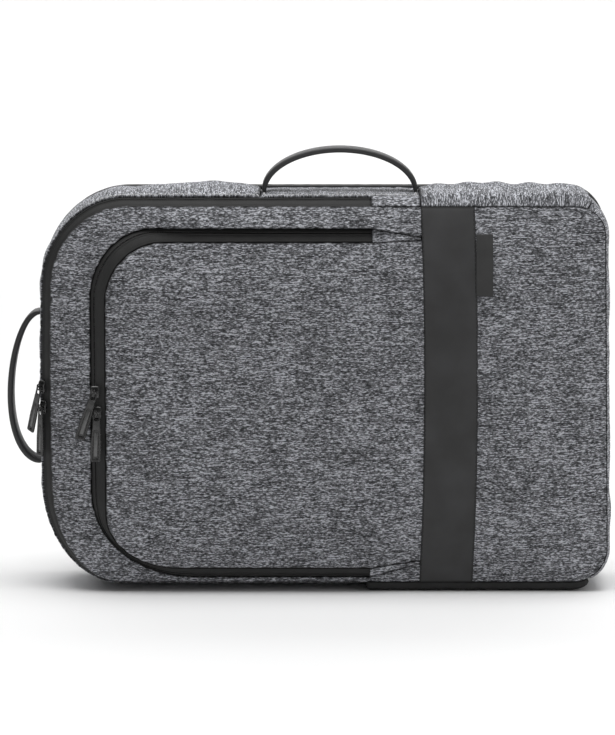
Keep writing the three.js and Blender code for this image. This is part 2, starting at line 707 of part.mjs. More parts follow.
addGussets();
addMainZip();
addSidePockets();
addFront();
addRear();
addHandles();
addSliders();

// The whole bag's footprint is centred on the origin
const bounds = new THREE.Box3().setFromObject(parts);
parts.position.set(-(bounds.min.x + bounds.max.x) / 2, -(bounds.min.y + bounds.max.y) / 2, 0);

export default parts;
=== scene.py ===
"""Looks of a convertible backpack that stands on its long side as a briefcase."""

import json
import math

import bpy
import numpy as np
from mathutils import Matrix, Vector
from mathutils.geometry import delaunay_2d_cdt
from mathutils.kdtree import KDTree

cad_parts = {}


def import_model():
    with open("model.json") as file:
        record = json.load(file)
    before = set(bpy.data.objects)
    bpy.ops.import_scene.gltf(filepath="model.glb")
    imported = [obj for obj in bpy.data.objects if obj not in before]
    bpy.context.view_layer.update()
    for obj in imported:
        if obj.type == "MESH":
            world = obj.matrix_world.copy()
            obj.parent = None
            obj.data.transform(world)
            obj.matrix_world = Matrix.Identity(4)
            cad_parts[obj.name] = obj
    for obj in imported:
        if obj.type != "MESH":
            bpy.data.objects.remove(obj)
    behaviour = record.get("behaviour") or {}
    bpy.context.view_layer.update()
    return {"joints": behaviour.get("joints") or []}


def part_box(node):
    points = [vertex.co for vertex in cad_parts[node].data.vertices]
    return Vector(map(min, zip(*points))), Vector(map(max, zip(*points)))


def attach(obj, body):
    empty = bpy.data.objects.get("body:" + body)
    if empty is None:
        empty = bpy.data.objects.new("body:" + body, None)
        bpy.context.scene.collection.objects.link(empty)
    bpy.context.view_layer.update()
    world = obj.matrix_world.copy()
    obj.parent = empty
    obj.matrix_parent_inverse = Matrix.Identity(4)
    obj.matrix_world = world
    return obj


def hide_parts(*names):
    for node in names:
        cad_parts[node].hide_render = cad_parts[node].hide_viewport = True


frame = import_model()

# Sizes in millimetres. The bag's own coordinates are x from its left side, depth from the front seam, and z.
MM = 0.001
BAG_LENGTH = 445
BAG_TOP = 311.5
GUSSET_LIFT = 4.5
GUSSET_DEPTH = 85
LEFT_BOW = 3
RIGHT_LEAN = 4.5
CORNERS = {"top_left": (66, 70), "bottom_left": (60, 80), "bottom_right": (30, 31), "top_right": (28, 30)}
INSETS = np.array([8, 8.5, 3, 2.5])          # front panel's edge inside the gusset: top, left, bottom, right
BEVEL_DEPTH = 9.5
SIDE_BULGE = 0.8
TOP_BULGE = 3.5
HANDLE_PANEL_BULGE = 0.6
GROUND_GAP = 0.2

FRONT_CROWN = 14
CROWN_RUN = 70
POCKET_RAISE = 4
POCKET_RUN = 16
HANDLE_SEAM = 169.5
ZIP_END = 256
BAND_LEFT = 294
BAND_WIDTH = 42
BAND_BOW = 3
BAND_PROUD = 0.9
SIDE_POCKET_RIGHT = 427.5
LOWER_POCKET_LEFT = 252
POCKET_FROM = {"left": 29.2, "top": 16.5, "bottom": 4.5}
POCKET_TAPE = {"left": 12, "top": 11, "bottom": 8}
POCKET_CORNERS = ((50, 55), (80, 69))
PANEL_CORNERS = ((45, 47), (54, 43))
TAB_TAPER = {"top": 8.1, "bottom": 12.5, "end": 2.4}
UPPER_POCKET = {"shoulder": 2.5, "crown": 4.5, "seat": 1.1, "margin": 12}
LOWER_POCKET = {"shoulder": 4.5, "crown": 4.5, "seat": 2.3, "margin": 4}
POCKET_END_RUN = 14
BORDER_CUT = 36                               # widest part of the border's C-shaped strip

CLOTH = 1.5                                   # fabric, with its fold
TAPE_THICKNESS = 0.8
TAPE_SUNK = 1.7                               # zip tape below the fabric's face
TAPE_LAP = 1.6                                # tape hidden under the fabric at each side
POCKET_TAPE_BACK = 3.8                        # back of the pocket's tape, behind the front's face
SLIT_FROM_EDGE = 3.9                          # zip's middle, from the tape's outer edge
EDGE_ROLL = 1.6                               # radius of a folded edge
PAINTED_SEAM_SHADE_WIDTH = 0.65                             # width of the painted shade line in the fold of a seam
UNDER_BAND = 4                                # how far the front panels reach under the band
LIP = 6.0                                     # how far the border stands out over the pocket's top zip
STUFFED = {"top": 4.0, "middle": 128, "reach": 40}   # extra bulge of the top gusset, and where it is
STUFFED_POCKET = 3.0                          # extra bulge of the upper side pocket
POCKET_SINK = 1.2                             # gusset behind the upper side pocket, below its neighbours
SPARE_CLOTH = 0.012                           # share by which simulated cloth is larger than its place
CLOTH_MOVE = 1.1                              # furthest that the simulation moves it
CROWN_SHARE = 1.04                            # a front panel's area as cut, to its area seen from the front
BAND_SHARE = 1.03                             # the band's length as cut, to the front's height
STITCH = {"length": 2.6, "pitch": 3.5, "radius": 0.27, "from_edge": 2.2}
LABEL = {"width": 11.5, "length": 47.5, "from_top": 21, "from_band": 1, "thickness": 1.2}
PIPING_RADIUS = 2.2
REAR = {"edge": 5, "crown": 10, "padding": 6, "flat": 0.62}
STRAP = {"width": 25, "thickness": 4.5}
TOP_HANDLE = {"rise": 32.5, "from_seam": 3}
SIDE_HANDLE = {"span": 118, "reach": 24, "height": 158, "sag": 7}

FRONT_TOP = BAG_TOP - INSETS[0]
FRONT_BOTTOM = GUSSET_LIFT + INSETS[2]
BAND_RIGHT = BAND_LEFT + BAND_WIDTH
POCKET_LEFT = INSETS[1] + POCKET_FROM["left"]
POCKET_TOP = FRONT_TOP - POCKET_FROM["top"]
POCKET_BOTTOM = FRONT_BOTTOM + POCKET_FROM["bottom"]

# The bag's left side and its front seam in the frame
label_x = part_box("label_tab")[0].x / MM
LEFT_SIDE = label_x - (BAND_RIGHT + BAND_BOW / 2 + LABEL["from_band"])
FRONT_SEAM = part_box("gusset_base")[0].y / MM


def world(points):
    """Points of the bag's coordinates in millimetres, in the frame in metres."""
    return (np.asarray(points, float) + (LEFT_SIDE, FRONT_SEAM, 0)) * MM


def smooth(v):
    v = np.clip(v, 0, 1)
    return v * v * (3 - 2 * v)


def ease(v):
    return np.sin(np.clip(v, 0, 1) * math.pi / 2)


def mix(a, b, t):
    return a + (b - a) * t


def unit(vectors):
    return vectors / np.linalg.norm(vectors, axis=1, keepdims=True)


def run_along(path):
    """The length along a path up to each of its points."""
    return np.concatenate([[0], np.cumsum(np.linalg.norm(np.diff(path, axis=0), axis=1))])


def rounded_off(line, reach):
    """A line of evenly spaced values, averaged over reach values to each side."""
    size = 2 * reach + 1
    return np.convolve(np.pad(line, reach, "reflect", reflect_type="odd"), np.ones(size) / size, "valid")


def waves(s, seed, length, count=5):
    """A gentle random wave along a length, about -1 to 1."""
    r = np.random.default_rng(seed)
    turns = 2 * math.pi / (length * r.uniform(0.55, 1.7, count))
    starts = r.uniform(0, 2 * math.pi, count)
    return sum(np.sin(s * k + f) for k, f in zip(turns, starts)) / math.sqrt(count)


def ripples(u, v, seed, length, count=14, stretch=1.0):
    """Random soft waves over a surface, about -1 to 1; stretch makes them longer along u."""
    r = np.random.default_rng(seed)
    total = 0
    for _ in range(count):
        angle, start = r.uniform(0, math.pi), r.uniform(0, 2 * math.pi)
        k = 2 * math.pi / (length * r.uniform(0.7, 1.6))
        total = total + np.sin(k * (u * math.cos(angle) / stretch + v * math.sin(angle)) + start)
    return total / math.sqrt(count)


# The rim: the bag's outline from the front, as four sides and four corners from place 0 to 8

def right_at(z):
    return BAG_LENGTH - RIGHT_LEAN * (z - GUSSET_LIFT) / (BAG_TOP - GUSSET_LIFT)


def rim_curves():
    top, low = BAG_TOP, GUSSET_LIFT
    tl, bl, br, tr = (CORNERS[k] for k in ("top_left", "bottom_left", "bottom_right", "top_right"))
    at = [np.array(p, float) for p in (
        (right_at(top) - tr[0], top), (tl[0], top), (0, top - tl[1]), (0, low + bl[1]),
        (bl[0], low), (BAG_LENGTH - br[0], low),
        (right_at(low + br[1]), low + br[1]), (right_at(top - tr[1]), top - tr[1]))]
    corners = [np.array(p, float) for p in ((0, top), (0, low), (BAG_LENGTH, low), (right_at(top), top))]
    curves = []
    for i in range(8):
        a, b = at[i], at[(i + 1) % 8]
        if i % 2:
            corner, round_share = corners[i // 2], 0.5523
            curves.append([a, mix(a, corner, round_share), mix(b, corner, round_share), b])
        else:
            curves.append([a, mix(a, b, 1 / 3), mix(a, b, 2 / 3), b])
    return np.array(curves)


RIM = rim_curves()


def rim(places):
    """x, z and the outward normal of the rim at places, with the left side's bow."""
    places = np.mod(np.asarray(places, float), 8)
    index = np.minimum(7, places.astype(int))
    t = (places - index)[:, None]
    a, b, c, d = (RIM[index, k] for k in range(4))
    point = (1 - t) ** 3 * a + 3 * (1 - t) ** 2 * t * b + 3 * (1 - t) * t * t * c + t ** 3 * d
    along = unit(3 * (1 - t) ** 2 * (b - a) + 6 * (1 - t) * t * (c - b) + 3 * t * t * (d - c))
    height = np.clip((point[:, 1] - GUSSET_LIFT) / (BAG_TOP - GUSSET_LIFT), 0, 1)
    bow = LEFT_BOW * np.sin(math.pi * height) * smooth(1 - point[:, 0] / CORNERS["top_left"][0])
    return point[:, 0] - bow, point[:, 1], along[:, 1], -along[:, 0]


def inset(places):
    places = np.mod(np.asarray(places, float), 8)
    index = np.minimum(7, places.astype(int))
    side = index // 2
    corner = mix(INSETS[side], INSETS[(side + 1) % 4], smooth(places - index))
    return np.where(index % 2, corner, INSETS[side])


PLACES = np.linspace(-1.5, 10.5, 9001)
_x, _z, _, _ = rim(PLACES)
RUN = np.concatenate([[0], np.cumsum(np.hypot(np.diff(_x), np.diff(_z)))])


def stations(start, end, step=2.2):
    """Evenly spaced places from one to another, and the length run to each."""
    low, high = np.interp([start, end], PLACES, RUN)
    runs = np.linspace(low, high, max(3, int((high - low) / step) + 1))
    return np.interp(runs, RUN, PLACES), runs


def find(value, axis, low, high):
    """The place between two others where the rim has that x (axis 0) or z (axis 1)."""
    places = np.linspace(low, high, 4001)
    values = rim(places)[axis]
    order = np.argsort(values)
    return float(np.interp(value, values[order], places[order]))


ALONG_TOP, ALONG_BOTTOM = (-0.9, 1.9), (3.1, 5.9)
TOP_SEAM, TOP_ZIP_END, TOP_BAND, TOP_POCKET_END = (
    find(x, 0, *ALONG_TOP) for x in (HANDLE_SEAM, ZIP_END, BAND_LEFT, SIDE_POCKET_RIGHT))
BOTTOM_POCKET_START, BOTTOM_POCKET_END = (
    find(x, 0, *ALONG_BOTTOM) for x in (LOWER_POCKET_LEFT, SIDE_POCKET_RIGHT))
HAIR = 0.15 / 250                             # a strip's end to the seam with the next one, in places


# Outlines on the front, as points in x and z

def spaced(path, lengths):
    """Points of a path at lengths along it."""
    run = run_along(path)
    return np.stack([np.interp(lengths, run, path[:, k]) for k in range(2)], 1)


def resampled(path, step=1.8):
    path = np.asarray(path, float)
    length = run_along(path)[-1]
    return spaced(path, np.linspace(0, length, max(2, int(length / step) + 1)))


def shifted(path, by):
    """A path moved towards its right hand."""
    along = unit(np.gradient(path, axis=0))
    return path + np.stack([along[:, 1], -along[:, 0]], 1) * np.asarray(by).reshape(-1, 1)


def band_line(x, z):
    return x + BAND_BOW * np.sin(math.pi * np.clip((FRONT_TOP - z) / (FRONT_TOP - FRONT_BOTTOM), 0, 1))


def front_path(start, end, inside=0.15):
    """The front seam between two places, from the front of the bevel."""
    places, _ = stations(start, end, 1.8)
    x, z, nx, nz = rim(places)
    out = -inset(places) - inside
    return np.stack([x + nx * out, z + nz * out], 1)


def pocket_path(left, top, bottom, corners, out, overrun=0.0):
    """The C-shaped edge of the pocket's zip or panel, from the band at the top to the band at the bottom."""
    (along_top, down_top), (along_low, down_low) = corners
    end_top = POCKET_TOP - TAB_TAPER["top"] + out
    end_low = POCKET_BOTTOM + TAB_TAPER["bottom"] - out
    path = [(BAND_LEFT + overrun, end_top), (BAND_LEFT, end_top), (ZIP_END, top)]
    for angle in np.linspace(math.pi / 2, math.pi, 24):
        path.append((left + along_top * (1 + math.cos(angle)), top - down_top * (1 - math.sin(angle))))
    for angle in np.linspace(math.pi, 1.5 * math.pi, 24):
        path.append((left + along_low * (1 + math.cos(angle)), bottom + down_low * (1 + math.sin(angle))))
    path += [(ZIP_END, bottom), (BAND_LEFT, end_low), (BAND_LEFT + overrun, end_low)]
    return resampled(path)


def zip_path(overrun=0.0):
    return pocket_path(POCKET_LEFT, POCKET_TOP, POCKET_BOTTOM, POCKET_CORNERS, TAB_TAPER["end"] / 2, overrun)


def panel_path(overrun=0.0):
    left, top = POCKET_LEFT + POCKET_TAPE["left"], POCKET_TOP - POCKET_TAPE["top"]
    bottom = POCKET_BOTTOM + POCKET_TAPE["bottom"]
    return pocket_path(left, top, bottom, PANEL_CORNERS, -TAB_TAPER["end"] / 2, overrun)


def distance(points, path, closed=False):
    """Distance of each point to a path, and how far along the path its nearest spot lies."""
    count = len(path)
    tree = KDTree(count)
    for i, (x, z) in enumerate(path):
        tree.insert((x, z, 0), i)
    tree.balance()
    nearest = np.array([tree.find((x, z, 0))[1] for x, z in points])
    step = np.roll(path, -1, axis=0) - path
    size = np.maximum((step ** 2).sum(1), 1e-9)
    run = np.concatenate([[0], np.cumsum(np.sqrt(size))[:-1]])
    best, spot = np.full(len(points), np.inf), np.zeros(len(points))
    for first in (nearest - 1, nearest):
        first = first % count if closed else np.clip(first, 0, count - 2)
        start, along = path[first], step[first]
        t = np.clip(((points - start) * along).sum(1) / size[first], 0, 1)
        away = np.linalg.norm(points - start - t[:, None] * along, axis=1)
        closer = away < best
        best[closer] = away[closer]
        spot[closer] = (run[first] + t * np.sqrt(size[first]))[closer]
    return best, spot


def inside(points, loop):
    """Which points lie inside a closed loop."""
    a, b = loop, np.roll(loop, -1, axis=0)
    within = np.zeros(len(points), bool)
    x, z = points[:, 0], points[:, 1]
    for (ax, az), (bx, bz) in zip(a, b):
        if az != bz:
            within ^= ((az > z) != (bz > z)) & (x < ax + (bx - ax) * (z - az) / (bz - az))
    return within


def inward(loop, by):
    """A closed loop moved towards its inside."""
    area = np.sum(loop[:, 0] * np.roll(loop[:, 1], -1) - loop[:, 1] * np.roll(loop[:, 0], -1))
    along = unit(np.roll(loop, -1, axis=0) - np.roll(loop, 1, axis=0))
    return loop + np.stack([-along[:, 1], along[:, 0]], 1) * np.sign(area) * by


# How far the front stands out of the seam's plane

FRONT_LOOP = front_path(0, 8)[:-1]
ZIP_LOOP = zip_path(BAND_WIDTH)
GRID_STEP = 2.0
GRID_MARGIN = 30


def crown(distance_inside):
    return FRONT_CROWN * np.sign(distance_inside) * ease(np.abs(distance_inside) / CROWN_RUN)


def blurred(field, sigma):
    reach = int(3 * sigma)
    weights = np.exp(-0.5 * (np.arange(-reach, reach + 1) / sigma) ** 2)
    weights /= weights.sum()
    for axis in (0, 1):
        pad = [(reach, reach) if k == axis else (0, 0) for k in (0, 1)]
        wide = np.pad(field, pad, mode="edge")
        field = np.apply_along_axis(lambda line: np.convolve(line, weights, "valid"), axis, wide)
    return field


def crown_grid():
    """The crown on a grid, softened where the slopes from two sides meet."""
    xs = np.arange(-GRID_MARGIN, BAG_LENGTH + GRID_MARGIN, GRID_STEP)
    zs = np.arange(-GRID_MARGIN, BAG_TOP + GRID_MARGIN, GRID_STEP)
    points = np.stack(np.meshgrid(xs, zs, indexing="ij"), 2).reshape(-1, 2)
    away, _ = distance(points, FRONT_LOOP[::3], closed=True)
    away *= np.where(inside(points, FRONT_LOOP), 1, -1)
    return xs, zs, blurred(crown(away).reshape(len(xs), len(zs)), 9 / GRID_STEP)


CROWN_XS, CROWN_ZS, CROWN_FIELD = crown_grid()


def crown_at(points):
    i = np.clip((points[:, 0] - CROWN_XS[0]) / GRID_STEP, 0, len(CROWN_XS) - 1.001)
    j = np.clip((points[:, 1] - CROWN_ZS[0]) / GRID_STEP, 0, len(CROWN_ZS) - 1.001)
    i0, j0 = i.astype(int), j.astype(int)
    u, v = i - i0, j - j0
    f = CROWN_FIELD
    low = f[i0, j0] * (1 - u) + f[i0 + 1, j0] * u
    high = f[i0, j0 + 1] * (1 - u) + f[i0 + 1, j0 + 1] * u
    return low * (1 - v) + high * v


def front_height(points):
    edge, _ = distance(points, FRONT_LOOP, closed=True)
    edge = np.where(inside(points, FRONT_LOOP), edge, -edge)
    height = mix(crown(edge), crown_at(points), smooth((edge - 5) / 12))
    zip_edge, _ = distance(points, ZIP_LOOP)
    zip_edge = np.where(inside(points, ZIP_LOOP), zip_edge, 0)
    fade = smooth((BAND_LEFT - points[:, 0]) / BAND_WIDTH)
    return height + POCKET_RAISE * fade * ease(zip_edge / POCKET_RUN)


# Meshes

def new_piece(name, points, faces, material, grain=None, body="bag", flat_edge=50, seam=None):
    """A closed mesh from points of the bag's coordinates, riding on a body.

    seam is the distance to a seam of each point of one skin; the other skin has the same. Near a seam the
    materials darken the colour as painted shade."""
    mesh = bpy.data.meshes.new(name)
    mesh.from_pydata(world(points).tolist(), [], [tuple(int(i) for i in f) for f in faces])
    piece = bpy.data.objects.new(name, mesh)
    bpy.context.scene.collection.objects.link(piece)
    if grain is not None:
        layer = mesh.attributes.new("grain", "FLOAT_VECTOR", "POINT")
        layer.data.foreach_set("vector", (np.asarray(grain, np.float32) * MM).ravel())
    if seam is not None:
        # the seam value, which the materials turn into painted shade near each seam
        near = np.exp(-(np.maximum(np.ravel(seam), 0) / PAINTED_SEAM_SHADE_WIDTH) ** 2).astype(np.float32)
        mesh.attributes.new("seam", "FLOAT", "POINT").data.foreach_set("value", np.concatenate([near, near]))
    mesh.update()
    mesh.shade_smooth()
    mesh.set_sharp_from_angle(angle=math.radians(flat_edge))
    mesh.materials.append(material)
    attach(piece, body)
    return piece


def declare_sheet(width, length, area=None):
    """A sewn sheet of cloth, cut flat to a width and length: works out its area and keeps nothing, stopping
    early for one under 10 mm wide. The frame takes none under 10 mm wide.
    """
    if min(width, length) < 10:
        return
    area = None if area is None else float(min(area, width * length) * MM * MM)


def grid_faces(rows, columns, start=0, flip=False, closed=False):
    faces = []
    for i in range(rows if closed else rows - 1):
        j = (i + 1) % rows
        for k in range(columns - 1):
            quad = [start + i * columns + k, start + i * columns + k + 1,
                    start + j * columns + k + 1, start + j * columns + k]
            faces.append(quad[::-1] if flip else quad)
    return faces


def facing_out(points, faces):
    """Faces turned so that the closed mesh has a positive volume."""
    volume = 0.0
    for size in {len(face) for face in faces}:
        group = np.array([face for face in faces if len(face) == size])
        for k in range(1, size - 1):
            a, b, c = (points[group[:, i]] for i in (0, k, k + 1))
            volume += float((a * np.cross(b, c)).sum())
    return faces if volume > 0 else [tuple(face)[::-1] for face in faces]


def walled(outer, inner, closed=False):
    """Points and faces of a wall between two grids of points; closed joins the last row to the first."""
    rows, columns = outer.shape[:2]
    count = rows * columns
    points = np.concatenate([outer.reshape(-1, 3), inner.reshape(-1, 3)])
    faces = grid_faces(rows, columns, 0, False, closed) + grid_faces(rows, columns, count, True, closed)
    for i in range(rows if closed else rows - 1):
        j = (i + 1) % rows
        for k, flip in ((0, False), (columns - 1, True)):
            quad = [i * columns + k, j * columns + k, count + j * columns + k, count + i * columns + k]
            faces.append(quad[::-1] if flip else quad)
    if not closed:
        for row, flip in ((0, True), (rows - 1, False)):
            for k in range(columns - 1):
                a = row * columns + k
                quad = [a, a + 1, count + a + 1, count + a]
                faces.append(quad[::-1] if not flip else quad)
    return points, facing_out(points, faces)


def lofted(rings):
    """A closed mesh through rings of points, with flat ends."""
    rings = np.array(rings)
    count, sides = rings.shape[:2]
    points = rings.reshape(-1, 3)
    faces = [(i + k, i + (k + 1) % sides, i + sides + (k + 1) % sides, i + sides + k)
             for i in range(0, (count - 1) * sides, sides) for k in range(sides)]
    faces += [tuple(range(sides))[::-1], tuple((count - 1) * sides + k for k in range(sides))]
    return points, facing_out(points, faces)


def both_skins(along, across):
    """Grain coordinates for the two matching skins of a wall."""
    grain = np.stack([along, across, np.zeros_like(along)], -1).reshape(-1, 3)
    return np.concatenate([grain, grain])


def across_normals(out, depth):
    """Outward normals of lines of out and depth, from their slope."""
    d_out, d_depth = np.gradient(out, axis=1), np.gradient(depth, axis=1)
    size = np.hypot(d_out, d_depth)
    return d_depth / size, -d_out / size


def strip(name, places, runs, out, depth, relief, thickness, material, grain_along="depth", lap=0.0):
    """A strip of cloth along the rim. out, depth and relief are grids with a row for each place."""
    n_out, n_depth = across_normals(out, depth)
    x, z, nx, nz = (v[:, None] for v in rim(places))

    def placed(lift):
        o, d = out + n_out * lift, depth + n_depth * lift
        return np.stack([x + nx * o, d, z + nz * o], 2)
    outer, inner = placed(relief), placed(np.minimum(relief, 0) - thickness)
    points, faces = walled(outer, inner)
    widths = np.concatenate([np.zeros((len(places), 1)), np.cumsum(
        np.hypot(np.diff(out, axis=1), np.diff(depth, axis=1)), axis=1)], 1)
    along = np.broadcast_to(runs[:, None], out.shape)
    grain = both_skins(widths, along) if grain_along == "depth" else both_skins(along, widths)
    to_side = np.minimum(widths, widths[:, -1:] - widths) - lap
    to_end = np.minimum(runs - runs[0], runs[-1] - runs)[:, None]
    piece = new_piece(name, points, faces, material, grain, seam=np.minimum(to_side, to_end))
    length = runs[-1] - runs[0]
    declare_sheet(widths[:, -1].max(), length, widths[:, -1].mean() * length)
    return piece, outer


def roll(away, radius=EDGE_ROLL, drop=TAPE_SUNK):
    """A folded edge: how far the cloth drops at a distance from its edge."""
    t = np.clip(away / radius, 0, 1)
    return -drop * (1 - np.sqrt(np.clip(1 - (1 - t) ** 2, 0, 1)))


def seam_form(away, run, seed, depth=0.5, pucker=0.3):
    """Cloth beside a stitched seam: a dip at the stitches, and puckers that fade away from them."""
    dip = -0.08 * np.exp(-((away - STITCH["from_edge"]) / 0.7) ** 2)
    pull = -depth * np.exp(-away / 4.5)
    folds = pucker * np.exp(-np.abs(away - 4) / 5) * waves(run, seed, 9, 7)
    return dip + pull + folds


def columns(first, last, fine=(0, 0.25, 0.6, 1.0, 1.4, 1.9, 2.4, 3.2, 4.5, 6.5), step=3.0):
    """Distances across a strip, closer together at both edges."""
    fine = np.array([f for f in fine if f < (last - first) / 2])
    middle = np.arange(first + fine[-1] + step, last - fine[-1] - step / 2, step)
    return np.concatenate([first + fine, middle, (last - fine)[::-1]])


# Materials

def add(tree, kind, settings=None, **inputs):
    """A node with its settings and inputs; an input named after a number is that input's index."""
    made = tree.nodes.new("ShaderNode" + kind)
    for key, value in (settings or {}).items():
        setattr(made, key, value)
    for key, value in inputs.items():
        socket = made.inputs[int(key[1:]) if key[1:].isdigit() else key.replace("_", " ")]
        if isinstance(value, bpy.types.NodeSocket):
            tree.links.new(value, socket)
        else:
            socket.default_value = value
    return made


def new_material(name, roughness=0.9, metallic=0.0, sheen=0.0, specular=0.2):
    material = bpy.data.materials.new(name)
    material.use_nodes = True
    tree = material.node_tree
    tree.nodes.clear()
    shader = add(tree, "BsdfPrincipled", Roughness=roughness, Metallic=metallic)
    shader.inputs["Specular IOR Level"].default_value = specular
    shader.inputs["Sheen Weight"].default_value = sheen
    shader.inputs["Sheen Roughness"].default_value = 0.5
    add(tree, "OutputMaterial", Surface=shader.outputs[0])
    return material, tree, shader


def calc(tree, operation, a, b=0.0):
    return add(tree, "Math", {"operation": operation}, i0=a, i1=b).outputs[0]


def ramp(tree, value, stops):
    """A colour ramp; stops are (position, colour)."""
    made = add(tree, "ValToRGB", Fac=value)
    elements = made.color_ramp.elements
    while len(elements) < len(stops):
        elements.new(0.5)
    for element, (position, colour) in zip(elements, stops):
        element.position = position
        element.color = (*colour, 1)
    return made.outputs[0]


def colour_with_painted_seam_shade(tree, shader, colour, share=0.88):
    """Links the base colour, darkened by painted shade in the folds of seams."""
    # Painted shade: the seam value darkens the base colour where a seam's fold would be in shadow.
    seam = add(tree, "Attribute", {"attribute_name": "seam"}).outputs["Fac"]
    kept = calc(tree, "SUBTRACT", 1.0, calc(tree, "MULTIPLY", seam, share))
    shaded = add(tree, "VectorMath", {"operation": "SCALE"}, i0=colour, Scale=kept)
    tree.links.new(shaded.outputs[0], shader.inputs["Base Color"])


def bump(tree, shader, height, distance_mm, strength=1.0):
    made = add(tree, "Bump", Height=height, Distance=distance_mm * MM, Strength=strength)
    tree.links.new(made.outputs[0], shader.inputs["Normal"])


def yarn_coordinates(tree, pitch):
    """Millimetres along the grain, the number of the yarn across it, and the place across that yarn."""
    grain = add(tree, "Attribute", {"attribute_name": "grain"}).outputs["Vector"]
    scaled = add(tree, "VectorMath", {"operation": "SCALE"}, i0=grain, Scale=1 / MM).outputs[0]
    split = add(tree, "SeparateXYZ", i0=scaled)
    drift = add(tree, "TexNoise", Vector=scaled, Scale=0.02, Detail=1.0).outputs[0]
    drift = calc(tree, "MULTIPLY", drift, 1.5)
    across = calc(tree, "ADD", calc(tree, "DIVIDE", split.outputs[1], pitch), drift)
    return scaled, split.outputs[0], calc(tree, "FLOOR", across), calc(tree, "FRACT", across)


def heather(name, tone, contrast=4.5, pitch=0.6, streak=2.7):
    """Melange cloth: each yarn changes between dark and light in dashes along its length."""
    material, tree, shader = new_material(name, 0.92, sheen=0.1)
    scaled, along, yarn, across = yarn_coordinates(tree, pitch)
    chance = add(tree, "TexWhiteNoise", {"noise_dimensions": "1D"}, W=yarn).outputs[0]

    def dashes(length, spread, detail):
        u = calc(tree, "ADD", calc(tree, "DIVIDE", along, length), calc(tree, "MULTIPLY", chance, spread))
        at = add(tree, "CombineXYZ", i0=u, i1=calc(tree, "MULTIPLY", yarn, 7.31)).outputs[0]
        flat = {"noise_dimensions": "2D"}
        return add(tree, "TexNoise", flat, Vector=at, Scale=1.0, Detail=detail).outputs[0]
    short, long = dashes(streak, 97.0, 2.0), dashes(streak * 4.5, 41.0, 1.0)
    patch = add(tree, "TexNoise", Vector=scaled, Scale=0.03, Detail=2.0).outputs[0]
    mixed = calc(tree, "ADD", calc(tree, "MULTIPLY", short, 0.6), calc(tree, "MULTIPLY", long, 0.32))
    mixed = calc(tree, "ADD", mixed, calc(tree, "MULTIPLY", patch, 0.08))
    spread = calc(tree, "MULTIPLY", calc(tree, "SUBTRACT", mixed, 0.5), contrast)
    spread = calc(tree, "ADD", spread, 0.5)
    greys = ((0.0, 0.035), (0.3, 0.095), (0.55, 0.18), (0.8, 0.33), (1.0, 0.58))
    tint = (0.965, 0.985, 1.06)
    colour = ramp(tree, spread, [(at, [grey * tone * t for t in tint]) for at, grey in greys])
    colour_with_painted_seam_shade(tree, shader, colour)
    profile = calc(tree, "SINE", calc(tree, "MULTIPLY", across, math.pi))
    bump(tree, shader, calc(tree, "ADD", profile, calc(tree, "MULTIPLY", short, 1.2)), 0.16, 0.55)
    return material


def plain_weave(name, grey, roughness=0.75, pitch=0.5, depth=0.12, sheen=0.0, crest_shade=0.25):
    """Single-colour cloth with a fine weave, with painted shade: lighter on the yarns' crests and darker in
    the gaps between them, following the bump.
    """
    material, tree, shader = new_material(name, roughness, sheen=sheen)
    scaled, along, yarn, across = yarn_coordinates(tree, pitch)
    step = calc(tree, "ADD", calc(tree, "DIVIDE", along, pitch), calc(tree, "MULTIPLY", yarn, 0.5))
    over = calc(tree, "ABSOLUTE", calc(tree, "SINE", calc(tree, "MULTIPLY", step, math.pi)))
    profile = calc(tree, "MULTIPLY", calc(tree, "SINE", calc(tree, "MULTIPLY", across, math.pi)), over)
    patch = add(tree, "TexNoise", Vector=scaled, Scale=0.05, Detail=3.0).outputs[0]
    # painted shade: the weave's relief profile lightens the crests and darkens the gaps
    shade = calc(tree, "ADD", calc(tree, "MULTIPLY", profile, crest_shade), calc(tree, "MULTIPLY", patch, 0.5))
    colour = ramp(tree, shade, [(0.1, [grey * 0.72] * 3), (0.7, [grey * 1.3] * 3)])
    colour_with_painted_seam_shade(tree, shader, colour)
    bump(tree, shader, profile, depth, 0.6)
    return material


def coated(name, grey, roughness, grain_mm, depth, specular=0.2):
    """Smooth coated cloth or imitation leather with a pebbled grain."""
    material, tree, shader = new_material(name, roughness, specular=specular)
    where = add(tree, "TexCoord").outputs["Object"]
    pebbles = {"feature": "SMOOTH_F1"}
    cells = add(tree, "TexVoronoi", pebbles, Vector=where, Scale=1 / (grain_mm * MM)).outputs[0]
    patch = add(tree, "TexNoise", Vector=where, Scale=45.0, Detail=3.0).outputs[0]
    colour = ramp(tree, patch, [(0.3, [grey * 0.86] * 3), (0.7, [grey * 1.14, grey * 1.14, grey * 1.17])])
    colour_with_painted_seam_shade(tree, shader, colour)
    rough = calc(tree, "ADD", calc(tree, "MULTIPLY", patch, 0.16), roughness - 0.08)
    tree.links.new(rough, shader.inputs["Roughness"])
    bump(tree, shader, cells, depth, 0.5)
    return material


def metal(name, grey, roughness):
    """Dark plated metal with worn, slightly uneven polish."""
    material, tree, shader = new_material(name, roughness, 1.0)
    where = add(tree, "TexCoord").outputs["Object"]
    worn = add(tree, "TexNoise", Vector=where, Scale=420.0, Detail=4.0).outputs[0]
    colour = ramp(tree, worn, [(0.3, [grey * 0.85] * 3), (0.72, [grey * 1.25] * 3)])
    tree.links.new(colour, shader.inputs["Base Color"])
    rough = calc(tree, "ADD", calc(tree, "MULTIPLY", worn, 0.25), roughness - 0.12)
    tree.links.new(rough, shader.inputs["Roughness"])
    bump(tree, shader, worn, 0.02, 0.3)
    return material


def thread(name, grey):
    material, tree, shader = new_material(name, 0.8)
    where = add(tree, "TexCoord").outputs["Object"]
    twist = add(tree, "TexWave", {"bands_direction": "DIAGONAL"}, Vector=where, Scale=900.0).outputs[1]
    colour = ramp(tree, twist, [(0.0, [grey * 0.7] * 3), (1.0, [grey * 1.3] * 3)])
    tree.links.new(colour, shader.inputs["Base Color"])
    return material
